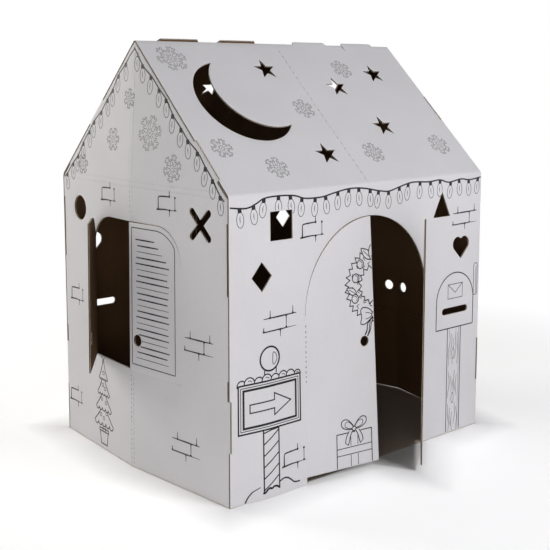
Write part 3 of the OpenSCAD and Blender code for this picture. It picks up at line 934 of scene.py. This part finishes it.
def fir(s, cx, foot):
    """A fir in a pot: four tiers with scalloped hems, each over the one below it, with
    baubles and a star on top."""
    b, f = s.p.plain, s.p.fine
    since = len(s.rows)
    for side in (-1, 1):
        s.corners([[cx + side * 6, foot + 50], [cx + side * 6, foot + 32]], b * 0.8)
    pot = np.array([[-20, 32], [20, 32], [15, 1], [-15, 1]]) + (cx, foot)
    s.corners(pot, b, True)
    s.corners(np.array([[-22, 32], [-22, 39], [22, 39], [22, 32]]) + (cx, foot), b, True)
    for i in range(4):
        low, wide, tall = foot + 54 + 37 * i, 46 - 8.5 * i, 58 - 3 * i
        hem = np.vstack([arc(cx - wide + wide * (2 * j + 1) / 5, low, wide / 5, 180, 360, 8)
                         for j in range(5)])
        left = smooth([[cx, low + tall], [cx - wide * 0.42, low + tall * 0.45], [cx - wide, low]])
        right = left[::-1] * (-1, 1) + (2 * cx, 0)
        tier = np.vstack((left[:-1], hem, right[1:-1]))
        s.cover(tier, since)
        s.curve(np.vstack((tier, tier[:1])), b, 1.5)
    for x, z in ((-15, 72), (14, 80), (0, 66), (-10, 112), (11, 106), (-3, 148), (7, 140),
                 (1, 178)):
        s.oval(cx + x, foot + z, 4.4, 4.4, f)
    crown = star(cx, foot + 226, 14, 6)
    s.cover(crown, since)
    s.corners(crown, f, True)


def print_long_sheet(p):
    """All the strokes of a long sheet, with u along the wall and v up wall and roof."""
    s = Strokes(p)
    wire = smooth([[-404, 632], [-362, 628], [-336, 635], [-312, 645], [-270, 647], [-228, 644],
                   [-198, 636], [-150, 635], [-112, 641], [-66, 647], [-20, 645], [34, 635],
                   [66, 632], [100, 639], [146, 647], [206, 644], [246, 646], [280, 638],
                   [326, 643], [360, 639], [404, 643]])
    i = np.arange(23)
    places = 25 + 35.5 * i - 12 * np.exp(-((i - 14) / 3.2) ** 2) + 2.5 * np.sin(2.4 * i)
    light_string(s, wire, places, 8)
    r = p.roof_shift
    for fx, fs, size, turn in ((-338, 403, 40, 8), (171, 371, 31, 25), (-45, 239, 30, 20),
                               (-350, 131, 28, 4), (-235, 67, 30, 14), (81, 91, 31, 11),
                               (326, 101, 33, 19)):
        snowflake(s, fx, r + fs, size, turn)
    for bx, bz, kind in ((-273, 377, 0), (345, 545, 0), (-178, 567, 1), (-238, 74, 1)):
        bricks(s, bx, bz, kind)
    fence_sign(s)
    gift(s)
    wreath(s)
    letter_box(s)
    dashes(s, -p.door, 232, 356, 1.3, 3)
    dashes(s, p.door, 40, 372, 1.0, 4)
    return s.rows


def tear_shade_stroke(p):
    """The short tear that runs down the slope from the corner of a ridge tab, drawn as a dark ink
    stroke: painted shade in its slit.
    """
    s = Strokes(p)
    top = p.roof_shift + p.slope - p.ridge_cut
    s.curve([[232.0, top - 2], [231.0, top - 11], [234.0, top - 21]], [2.6, 2.2, 0.5])
    return s.rows


def print_gable(p):
    """All the strokes of a gable, with u towards its front edge and v up."""
    s = Strokes(p)
    c, t = math.cos(p.pitch), math.sin(p.pitch)
    for side, last in ((1, 12), (-1, 11)):
        along = np.linspace(2, p.slope - 12, 130)
        deep = 14.5 + 3.2 * np.sin(along / 31.0 + 1.1 * side) + 1.2 * np.sin(along / 12.0)
        x = side * (p.half_d - along * c - deep * t)
        z = p.wall + along * t - deep * c
        places = 17 + 38.2 * np.arange(last) + 3 * np.sin(2.1 * np.arange(last))
        light_string(s, np.column_stack((x, z)), places, 6)
    for fu, fz, size, turn in ((66, 772, 41, 10), (-84, 752, 28, 3), (148, 700, 31, 17),
                               (-16, 846, 23, 22), (-228, 686, 25, 8)):
        snowflake(s, fu, fz, size, turn)
    for bu, bz, kind in ((130, 624, 1), (-104, 624, 1), (-270, 360, 1), (235, 327, 0),
                         (190, 93, 0), (-287, 96, 1)):
        bricks(s, bu, bz, kind)
    fir(s, -140, 10)
    win, r = p.window, p.corner
    rim = np.vstack(([[9.5, 247]], [[9.5, 560]], arc(win - r - 4, p.head - 89, 78, 90, 0, 20)))
    rim[:, 0] = np.minimum(rim[:, 0], win - 20)
    rim = np.vstack((rim, [[win - 20, 247], [9.5, 247]]))
    for side in (-1, 1):
        s.curve(rim * (side, 1), p.plain * 0.75)
        rng = np.random.default_rng(11)
        for i, z in enumerate(np.linspace(264, 534, 21)):
            reach = win - 42 - (0 if z < 490 else (z - 490) * 1.0)
            start = 26 + rng.uniform(-3, 4)
            w = p.plain * (1.25 if i % 3 else 0.6)
            stop = reach + rng.uniform(-4, 4)
            s.curve([[side * start, z], [side * stop, z]], [w * 0.7, w, w * 0.7])
    dashes(s, -4, 6, 214, 1.7, 8)
    dashes(s, 5, 6, 214, 0.6, 10)
    dashes(s, -4, 590, 640, 1.2, 9)
    return s.rows


def clipped(rows, loops):
    """The two sides of each stroke's ribbon. A part of a stroke that would cross a cut
    edge is left out."""
    left, right, count = [], [], [0]
    for points, width in rows:
        way = np.gradient(points, axis=0)
        way /= np.maximum(np.hypot(*way.T), 1e-9)[:, None]
        normal = np.column_stack((-way[:, 1], way[:, 0])) * width[:, None] / 2
        left.append(points + normal)
        right.append(points - normal)
        count.append(count[-1] + len(points))
    both = np.vstack(left + right)
    keep = inside(both, loops)
    keep[keep] = edge_distance(both[keep], loops) > 0.9
    keep = keep[:count[-1]] & keep[count[-1]:]
    return [(l[a:b], r[a:b]) for l, r, at in zip(left, right, count)
            for a, b in runs(keep[at:at + len(l)])]


# Four sides of a bar between one place of a stroke and the next, four corners each.
BAR_SIDES = np.array([[0, 1, 5, 4, 3, 7, 6, 2, 0, 4, 7, 3, 5, 1, 2, 6]])


def ribbon_mesh(name, p, ribbons, fold, turned_round, material):
    """Thin closed ribbons of ink that follow the folded sheet: four points at each
    place of a stroke, two on the ink and two under the liner."""
    flats, heights, faces = [], [], []
    base = 0
    for left, right in ribbons:
        n = len(left)
        flats.append(np.stack((left, right, right, left), axis=1).reshape(-1, 2))
        heights.append(np.tile([p.ink - LINER_INSET, p.ink - LINER_INSET, -0.6, -0.6], n))
        i = base + 4 * np.arange(n - 1)[:, None]
        faces.append((i + BAR_SIDES).reshape(-1, 4))
        last = base + 4 * (n - 1)
        faces.append(np.array([[base + 1, base, base + 3, base + 2],
                               [last, last + 1, last + 2, last + 3]]))
        base += 4 * n
    flat, height, quads = np.vstack(flats), np.concatenate(heights), np.vstack(faces)
    points = fold(p, flat, height, turned_round) * MM
    mesh = mesh_from(name, points, quads.ravel(), np.full(len(quads), 4))
    mesh.polygons.foreach_set("use_smooth", np.zeros(len(quads), bool))
    uv = (flat * MM)[quads.ravel()]
    mesh.uv_layers.new(name="sheet").data.foreach_set("uv", uv.astype(np.float32).ravel())
    mesh.materials.append(material)
    return add_piece(name, mesh)


# materials

class Nodes:
    """Short hand for building a node tree of a material or a world."""

    def __init__(self, owner, output="ShaderNodeOutputMaterial"):
        owner.use_nodes = True
        self.owner, self.tree = owner, owner.node_tree
        self.tree.nodes.clear()
        self.out = self.tree.nodes.new(output)

    def finish(self, shader):
        self.tree.links.new(shader.outputs[0], self.out.inputs[0])
        return self.owner

    def add(self, kind, sockets=(), **settings):
        """A node with its settings, and its sockets given by name or number."""
        node = self.tree.nodes.new(kind)
        for key, value in settings.items():
            setattr(node, key, value)
        for key, value in dict(sockets).items():
            if isinstance(value, bpy.types.NodeSocket):
                self.tree.links.new(value, node.inputs[key])
            else:
                node.inputs[key].default_value = value
        return node

    def math(self, operation, a, b=0.0, c=0.0):
        return self.add("ShaderNodeMath", {0: a, 1: b, 2: c}, operation=operation).outputs[0]

    def mix(self, share, a, b, blend="MIX"):
        node = self.add("ShaderNodeMix", {0: share, 6: a, 7: b}, data_type="RGBA", blend_type=blend)
        return node.outputs[2]

    def noise(self, where, scale, detail=3.0, rough=0.55):
        return self.add("ShaderNodeTexNoise", {"Vector": where, "Scale": scale, "Detail": detail,
                                               "Roughness": rough}).outputs["Fac"]

    def ramp(self, value, low, high, from_low=0.0, from_high=1.0):
        sockets = {0: value, 1: from_low, 2: from_high, 3: low, 4: high}
        return self.add("ShaderNodeMapRange", sockets, clamp=True).outputs[0]

    def sheet(self):
        """The sheet's own flat coordinates, as a vector and as two numbers."""
        uv = self.add("ShaderNodeUVMap", uv_map="sheet").outputs[0]
        parts = self.add("ShaderNodeSeparateXYZ", {0: uv})
        return uv, parts.outputs[0], parts.outputs[1]

    def kept_value(self, name):
        """A value that the mesh keeps under this name."""
        return self.add("ShaderNodeAttribute", attribute_name=name,
                        attribute_type="GEOMETRY").outputs["Fac"]

    def stretched(self, where, x, y):
        return self.add("ShaderNodeMapping", {"Vector": where, "Scale": (x, y, 1.0)}).outputs[0]

    def bump(self, height, distance, strength):
        return self.add("ShaderNodeBump", {"Height": height, "Distance": distance,
                                           "Strength": strength}).outputs[0]

    def seen(self):
        """1 on a ray from the camera, or from a mirror or glass, and 0 on all others."""
        path = self.add("ShaderNodeLightPath").outputs
        both = self.math("MAXIMUM", path["Is Camera Ray"], path["Is Glossy Ray"])
        return self.math("MAXIMUM", both, path["Is Transmission Ray"])


def new_material(name):
    old = bpy.data.materials.get(name)
    if old is not None:
        bpy.data.materials.remove(old)
    return Nodes(bpy.data.materials.new(name))


def rgba(c, scale=1.0):
    return (c[0] * scale, c[1] * scale, c[2] * scale, 1.0)


def flute_wave(n, u, pitch):
    """Sine of the distance across the flutes."""
    return n.math("SINE", n.math("MULTIPLY", u, 2 * math.pi / pitch))


def white_liner(scene, name, creases):
    """Bleached liner: faint flute marks, felt-like mottle, soft scuffs and a pressed,
    slightly toned rim along each cut. creases lists the pressed lines (axis, place); each
    is a shallow groove that is also painted darker, a painted shade."""
    f = scene.finishes
    n = new_material(name)
    uv, u, v = n.sheet()
    wave = flute_wave(n, u, scene.house_sizes.flute)
    fibre = n.noise(n.stretched(uv, 1.0, 0.35), 900.0, 4.0, 0.7)
    felt = n.noise(uv, 120.0, 3.0, 0.6)
    cloud = n.noise(uv, 5.0, 2.0, 0.5)
    scuff = n.noise(n.stretched(uv, 1.0, 0.2), 26.0, 6.0, 0.72)
    base = n.mix(n.ramp(cloud, 0.0, 1.0, 0.3, 0.7), rgba(f.liner, 0.965), rgba(f.liner, 1.02))
    base = n.mix(n.ramp(felt, 0.0, 0.10, 0.45, 0.75), base, rgba((0.62, 0.60, 0.58)))
    base = n.mix(n.ramp(fibre, 0.0, 0.16, 0.60, 0.85), base, rgba((0.50, 0.46, 0.42)))
    base = n.mix(n.ramp(scuff, 0.0, 0.13, 0.62, 0.80), base, rgba((0.50, 0.49, 0.48)))
    base = n.mix(n.ramp(wave, 0.0, 0.03, -1.0, 1.0), base, rgba((0.45, 0.45, 0.46)))
    rim = n.kept_value("rim")
    worn = n.math("MULTIPLY", n.ramp(rim, 1.0, 0.0, 0.0, 1.5), n.ramp(felt, 0.35, 1.0, 0.3, 0.7))
    base = n.mix(n.math("MULTIPLY", worn, 0.5), base, rgba((0.80, 0.74, 0.66)))
    height = n.math("ADD", n.math("MULTIPLY", wave, 0.35), n.math("MULTIPLY", fibre, 0.5))
    height = n.math("ADD", height, n.math("MULTIPLY", felt, 0.6))
    for axis, place in creases:
        away = n.math("ABSOLUTE", n.math("SUBTRACT", (u, v)[axis], place))
        line = n.ramp(away, 1.0, 0.0, 0.0, 0.0022)
        uneven = n.ramp(n.noise(uv, 60.0, 2.0, 0.5), 0.3, 1.0, 0.35, 0.65)
        line = n.math("MULTIPLY", line, uneven)
        # Darker along the pressed line: painted shade in its groove.
        base = n.mix(n.math("MULTIPLY", line, 0.22), base, rgba((0.36, 0.35, 0.34)))
        height = n.math("SUBTRACT", height, n.math("MULTIPLY", line, 3.0))
    normal = n.bump(height, 0.00006, 0.8)
    rough = n.ramp(felt, 0.62, 0.78, 0.3, 0.7)
    shader = n.add("ShaderNodeBsdfPrincipled", {"Base Color": base, "Roughness": rough,
                                                "Normal": normal, "Specular IOR Level": 0.35})
    return n.finish(shader)


def kraft_liner(scene):
    """Brown liner: long pale and dark fibres, washboard flutes with painted shade in
    their troughs, and cloudy tone.
    """
    f = scene.finishes
    n = new_material("kraft_liner")
    uv, u, _ = n.sheet()
    wave = flute_wave(n, u, scene.house_sizes.flute)
    fibre = n.noise(n.stretched(uv, 1.0, 0.25), 700.0, 4.0, 0.7)
    fleck = n.noise(n.stretched(uv, 1.0, 0.4), 260.0, 2.0, 0.5)
    cloud = n.noise(uv, 7.0, 3.0, 0.5)
    base = n.mix(n.ramp(cloud, 0.0, 1.0, 0.3, 0.7), rgba(f.kraft, 0.88), rgba(f.kraft, 1.1))
    base = n.mix(n.ramp(fibre, 0.0, 0.5, 0.5, 0.85), base, rgba(f.kraft, 1.6))
    base = n.mix(n.ramp(fleck, 0.0, 0.55, 0.64, 0.74), base, rgba(f.kraft, 0.4))
    # Darker in the troughs of the flutes: painted shade.
    base = n.mix(n.ramp(wave, 0.14, 0.0, -1.0, 0.2), base, rgba(f.kraft, 0.6))
    height = n.math("ADD", n.math("MULTIPLY", wave, 1.0), n.math("MULTIPLY", fibre, 0.6))
    normal = n.bump(height, 0.00012, 0.8)
    shader = n.add("ShaderNodeBsdfPrincipled", {"Base Color": base, "Roughness": 0.82,
                                                "Normal": normal, "Specular IOR Level": 0.25})
    return n.finish(shader)


def raw_edge(scene):
    """Cut edge: two liners, and between them the sine of the fluted paper where the cut
    goes across the flutes, or one long hollow where it goes along them. The gaps round
    the paper are painted near black: painted shade in the board's hollows. The second
    coordinate is the depth in the board."""
    f = scene.finishes
    n = new_material("raw_edge")
    uv, u, d = n.sheet()
    board = scene.house_sizes.board
    wave = flute_wave(n, u, scene.house_sizes.flute)
    share = n.math("DIVIDE", d, board)
    off = n.math("ABSOLUTE", n.math("SUBTRACT", share, n.math("MULTIPLY_ADD", wave, 0.38, 0.5)))
    paper = n.ramp(off, 1.0, 0.0, 0.10, 0.20)
    middle = n.math("ABSOLUTE", n.math("SUBTRACT", share, 0.5))
    liner = n.ramp(middle, 0.0, 1.0, 0.34, 0.42)
    along = n.kept_value("hollow")
    paper = n.math("MULTIPLY", paper, n.ramp(along, 1.0, 0.0, 0.7, 0.95))
    solid = n.math("MAXIMUM", paper, liner)
    dust = n.noise(uv, 1500.0, 3.0, 0.6)
    pale = n.mix(n.ramp(dust, 0.0, 1.0, 0.3, 0.7), rgba(f.pulp, 0.85), rgba(f.pulp, 1.12))
    # Near black where no paper or liner shows: painted shade in the hollows.
    base = n.mix(solid, rgba((0.10, 0.07, 0.045)), pale)
    height = n.math("ADD", solid, n.math("MULTIPLY", dust, 0.3))
    normal = n.bump(height, 0.0004, 0.9)
    shader = n.add("ShaderNodeBsdfPrincipled", {"Base Color": base, "Roughness": 0.9,
                                                "Normal": normal, "Specular IOR Level": 0.2})
    return n.finish(shader)


def line_ink(scene):
    """Black print: slightly thin on the troughs of the flutes and speckled with fibre."""
    n = new_material("line_ink")
    uv, u, _ = n.sheet()
    wave = flute_wave(n, u, scene.house_sizes.flute)
    speck = n.noise(uv, 800.0, 3.0, 0.65)
    ink = rgba(scene.finishes.ink)
    base = n.mix(n.ramp(speck, 0.0, 0.16, 0.60, 0.85), ink, rgba((0.20, 0.20, 0.20)))
    base = n.mix(n.ramp(wave, 0.02, 0.0, -1.0, -0.2), base, rgba((0.20, 0.20, 0.20)))
    shader = n.add("ShaderNodeBsdfPrincipled", {"Base Color": base, "Roughness": 0.55,
                                                "Specular IOR Level": 0.3})
    return n.finish(shader)


def studio_floor(scene, p):
    """Pale floor that goes on into the white background. Seen directly or in a
    reflection it is lifted towards white outside the house, whose foot on the floor is a
    rectangle with its two short sides bowed out to a corner, and outside the triangle
    that the open leaf shades. Near the house's foot the lift is weaker: painted shade
    along the foot. The shade of the house stays on it, and inside the house its colour
    is painted darker and browner: painted shade and painted brown light from the walls."""
    n = new_material("studio_floor")
    where = n.add("ShaderNodeTexCoord").outputs["Object"]
    seen = n.seen()
    parts = n.add("ShaderNodeSeparateXYZ", {0: where}).outputs
    x = n.math("SUBTRACT", parts[0], p.stand[0] * MM)
    ahead = n.math("SUBTRACT", parts[1], p.stand[1] * MM)
    y = n.math("ABSOLUTE", ahead)
    bowed = n.math("SUBTRACT", 1.0, n.math("DIVIDE", y, p.half_d * MM))
    left = n.math("SUBTRACT", n.math("MULTIPLY_ADD", bowed, -p.bows[0] * MM, -p.half_w * MM), x)
    right = n.math("SUBTRACT", x, n.math("MULTIPLY_ADD", bowed, p.bows[1] * MM, p.half_w * MM))
    front = n.math("SUBTRACT", y, p.half_d * MM)
    out = n.math("MAXIMUM", n.math("MAXIMUM", left, right), front)
    shade = n.math("ADD", ahead, p.half_d * MM)
    for place_x, place_y, way_x, way_y in LEAF_SHADE:
        over_x = n.math("MULTIPLY", n.math("SUBTRACT", x, place_x), way_x)
        over_y = n.math("MULTIPLY", n.math("SUBTRACT", ahead, place_y), way_y)
        shade = n.math("MAXIMUM", shade, n.math("ADD", over_x, over_y))
    painted_indoor_shade = n.ramp(out, 1.0, 0.0, -0.002, 0.004)
    out = n.math("MINIMUM", out, shade)
    # The lift falls to about a third within 0.1 m of the house's foot: painted shade along the
    # foot.
    lifted = n.math("MULTIPLY", seen, n.ramp(out, 0.35, 1.0, 0.004, 0.10))
    lifted = n.math("MULTIPLY", lifted, n.ramp(out, 0.0, 1.0, -0.002, 0.004))
    away = n.add("ShaderNodeVectorMath", {0: where}, operation="LENGTH").outputs["Value"]
    far = n.ramp(away, 0.0, 1.0, 0.9, 1.7)
    tone = n.mix(n.ramp(n.noise(where, 3.0, 2.0), 0.0, 1.0, 0.3, 0.7),
                 rgba(scene.finishes.floor), rgba(scene.finishes.floor, 0.985))
    # Darker, browner floor inside the house: painted shade and painted brown bounce light.
    tone = n.mix(painted_indoor_shade, tone, rgba((0.56, 0.47, 0.40)))
    matt = n.add("ShaderNodeBsdfDiffuse", {"Color": tone})
    lift = n.add("ShaderNodeEmission", {"Color": WHITE,
                                        "Strength": n.math("MULTIPLY", lifted, 0.46)})
    near = n.add("ShaderNodeAddShader", {0: matt.outputs[0], 1: lift.outputs[0]})
    white = n.add("ShaderNodeEmission", {"Color": WHITE, "Strength": 1.0})
    return n.finish(n.add("ShaderNodeMixShader", {0: n.math("MULTIPLY", far, seen),
                                                  1: near.outputs[0], 2: white.outputs[0]}))


def soft_room():
    """White where it is seen; as a light it is brightest near the horizon and dim
    overhead, so that the roof is darker than the wall."""
    world = bpy.data.worlds.get("soft_room") or bpy.data.worlds.new("soft_room")
    n = Nodes(world, "ShaderNodeOutputWorld")
    up = n.add("ShaderNodeSeparateXYZ", {0: n.add("ShaderNodeTexCoord").outputs["Generated"]})
    room = n.add("ShaderNodeBackground", {"Color": WHITE,
                                          "Strength": n.ramp(up.outputs[2], 0.43, 0.02, 0.0, 0.75)})
    white = n.add("ShaderNodeBackground", {"Color": WHITE, "Strength": 1.0})
    return n.finish(n.add("ShaderNodeMixShader", {0: n.seen(), 1: room.outputs[0],
                                                  2: white.outputs[0]}))


# operators

def long_sheet_grid(p):
    """Grid lines of a long sheet, close together at the folds."""
    across = np.concatenate((np.arange(-p.half_w + 6, p.half_w, GRID_STEP),
                             [-8, -5, -3, -1.6, 1.6, 3, 5, 8]))
    for side in (-1, 1):
        across = np.concatenate((across, side * (p.door + FOLD_STEPS)))
    up = np.concatenate((np.arange(6, p.fold_low - 4, GRID_STEP),
                         np.linspace(p.fold_low - 1, p.fold_high + 1, 10),
                         np.arange(p.fold_high + 5, p.roof_shift + p.slope, GRID_STEP)))
    return np.unique(across), up


def gable_grid(p):
    """Grid lines of a gable, close together at its creases."""
    across = np.concatenate((np.arange(-p.half_d + 5, p.half_d, GRID_STEP),
                             [-13, -9, -7, -5, -3, -1, 1, 3, 5, 7, 9, 13]))
    for side in (-1, 1):
        across = np.concatenate((across, side * (p.window + FOLD_STEPS)))
    up = np.concatenate((np.arange(6, p.wall - 16, GRID_STEP), p.wall + np.arange(-12, 13, 2.0),
                         np.arange(p.wall + 18, p.ridge, GRID_STEP)))
    return np.unique(across), up


def finish_materials(scene, kind):
    """Slots of a board piece: outer liner, inner liner, cut edge."""
    p = Plan(scene)
    creases = ([(0, 0.0)] if kind == "long" else
               [(0, 0.005), (0, -0.005), (1, (p.wall + 6) * MM), (1, (p.wall - 6) * MM)])
    white = white_liner(scene, "white_liner_" + kind, creases)
    brown = bpy.data.materials.get("kraft_liner") or kraft_liner(scene)
    edge = bpy.data.materials.get("raw_edge") or raw_edge(scene)
    return [white, brown, edge]


class PLAYHOUSE_OT_long_sheets(bpy.types.Operator):
    """Fold the two long sheets, each a wall with its door leaves and a roof slope"""
    bl_idname = "playhouse.long_sheets"
    bl_label = "Fold the long sheets"

    def execute(self, context):
        p = Plan(context.scene)
        sheet = cut_sheet(long_sheet_loops(p), *long_sheet_grid(p))
        materials = finish_materials(context.scene, "long")
        for name, node, turned_round in (("front_board", "front_sheet", False),
                                         ("rear_board", "rear_sheet", True)):
            piece = board_mesh(name, p, sheet, fold_long_sheet, turned_round, materials)
            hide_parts(node)
        return {"FINISHED"}


class PLAYHOUSE_OT_gables(bpy.types.Operator):
    """Fold the two gable sheets, each with a window and two shutters"""
    bl_idname = "playhouse.gables"
    bl_label = "Fold the gables"

    def execute(self, context):
        p = Plan(context.scene)
        sheet = cut_sheet(gable_loops(p), *gable_grid(p))
        materials = finish_materials(context.scene, "gable")
        for name, node, turned_round in (("left_gable_board", "left_gable", False),
                                         ("right_gable_board", "right_gable", True)):
            piece = board_mesh(name, p, sheet, fold_gable, turned_round, materials)
            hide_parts(node)
        return {"FINISHED"}


class PLAYHOUSE_OT_line_print(bpy.types.Operator):
    """Print the outlines that are there to be coloured in"""
    bl_idname = "playhouse.line_print"
    bl_label = "Print the outlines"

    def execute(self, context):
        p = Plan(context.scene)
        ink = line_ink(context.scene)
        loops = long_sheet_loops(p)
        ribbons = clipped(print_long_sheet(p), loops)
        # The tear is a dark ink stroke: painted shade in its slit.
        tear = clipped(tear_shade_stroke(p), loops)
        ribbon_mesh("front_print", p, ribbons + tear, fold_long_sheet, False, ink)
        ribbon_mesh("rear_print", p, ribbons, fold_long_sheet, True, ink)
        ribbons = clipped(print_gable(p), gable_loops(p))
        ribbon_mesh("left_gable_print", p, ribbons, fold_gable, False, ink)
        ribbon_mesh("right_gable_print", p, ribbons, fold_gable, True, ink)
        return {"FINISHED"}


class PLAYHOUSE_OT_stage(bpy.types.Operator):
    """Lay the pale floor and set the soft lights and the camera"""
    bl_idname = "playhouse.stage"
    bl_label = "Set the stage"

    def execute(self, context):
        scene = context.scene
        p = Plan(scene)
        a = np.radians(np.arange(0, 360, 3.0))
        reach = 40.0
        rim = np.column_stack((reach * np.cos(a), reach * np.sin(a), np.full(len(a), -0.0006)))
        mesh = mesh_from("studio_floor", rim, np.arange(len(a)), np.array([len(a)]))
        mesh.materials.append(studio_floor(scene, p))
        place_object("studio_floor", mesh)

        scene.world = soft_room()
        for name, azimuth, elevation, distance, size, power, tint in (
                ("front_softbox", 12.0, 31.0, 2.8, 0.9, 33.0, (0.975, 0.97, 1.0)),
                ("low_softbox", -46.0, 4.0, 3.2, 1.5, 22.0, (0.99, 0.98, 1.0)),
                ("back_softbox", -158.0, 20.0, 3.2, 1.6, 61.0, (1.0, 0.965, 0.91))):
            place_lamp(name, azimuth, elevation, distance, size, power, tint)
        place_camera(scene, p)
        return {"FINISHED"}


def around(azimuth, elevation):
    """Unit vector from the house towards a viewer; azimuth 0 stands before the door."""
    a, e = math.radians(azimuth), math.radians(elevation)
    return np.array([math.sin(a) * math.cos(e), -math.cos(a) * math.cos(e), math.sin(e)])


def looking(position, back, right):
    """Matrix whose columns are right, up, back and the position."""
    up = np.cross(back, right)
    rows = np.column_stack((right, up, back, position))
    return Matrix([list(r) for r in rows] + [[0.0, 0.0, 0.0, 1.0]])


def place_lamp(name, azimuth, elevation, distance, size, power, tint):
    """A square soft lamp that looks at the middle of the house."""
    data = bpy.data.lights.new(name, "AREA")
    data.shape = "SQUARE"
    data.size = size
    data.energy = power
    data.color = tint
    lamp = place_object(name, data)
    back = around(azimuth, elevation)
    a = math.radians(azimuth)
    right = np.array([math.cos(a), math.sin(a), 0.0])
    lamp.matrix_world = looking(back * distance + (0, 0, 0.45), back, right)


def place_camera(scene, p):
    """Camera at the photograph's angle. Its lens is given by the focal length in the
    frame's own pixels, 550 across, and its vertical shift by the frame's middle row."""
    azimuth, elevation, distance, focal = -40.9554, 6.95152, 2.57941, 1024.214
    side, height, row = 0.00374, 0.58589, 200.0
    data = bpy.data.cameras.new("camera")
    data.sensor_width = 36.0
    data.lens = focal * 36.0 / 550.0
    data.shift_y = (row - 275.0) / 550.0
    data.clip_end = 200.0
    camera = place_object("camera", data)
    back = around(azimuth, elevation)
    a = math.radians(azimuth)
    right = np.array([math.cos(a), math.sin(a), 0.0])
    target = right * side + (0, 0, height) + p.stand * MM
    camera.matrix_world = looking(target + distance * back, back, right)
    scene.camera = camera


class PLAYHOUSE_PT_panel(bpy.types.Panel):
    """Steps that make the playhouse"""
    bl_idname = "PLAYHOUSE_PT_panel"
    bl_label = "Cardboard playhouse"
    bl_space_type = "VIEW_3D"
    bl_region_type = "UI"
    bl_category = "Playhouse"

    def draw(self, context):
        layout = self.layout
        scene = context.scene
        for group in (scene.house_sizes, scene.door_sizes, scene.window_sizes,
                      scene.print_sizes, scene.finishes):
            box = layout.box()
            for key in group.__annotations__:
                box.prop(group, key)
        for step in STEPS:
            layout.operator(step.bl_idname)


STEPS = (PLAYHOUSE_OT_long_sheets, PLAYHOUSE_OT_gables, PLAYHOUSE_OT_line_print, PLAYHOUSE_OT_stage)
GROUPS = (HouseSizes, DoorSizes, WindowSizes, PrintSizes, Finishes)
NAMES = ("house_sizes", "door_sizes", "window_sizes", "print_sizes", "finishes")


def register():
    for kind in GROUPS + STEPS + (PLAYHOUSE_PT_panel,):
        bpy.utils.register_class(kind)
    for name, kind in zip(NAMES, GROUPS):
        setattr(bpy.types.Scene, name, bpy.props.PointerProperty(type=kind))


def unregister():
    for name in NAMES:
        delattr(bpy.types.Scene, name)
    for kind in reversed(GROUPS + STEPS + (PLAYHOUSE_PT_panel,)):
        bpy.utils.unregister_class(kind)


def main():
    register()
    bpy.context.scene.view_settings.view_transform = "Standard"
    bpy.ops.playhouse.long_sheets()
    bpy.ops.playhouse.gables()
    bpy.ops.playhouse.line_print()
    bpy.ops.playhouse.stage()


if __name__ == "__main__":
    main()
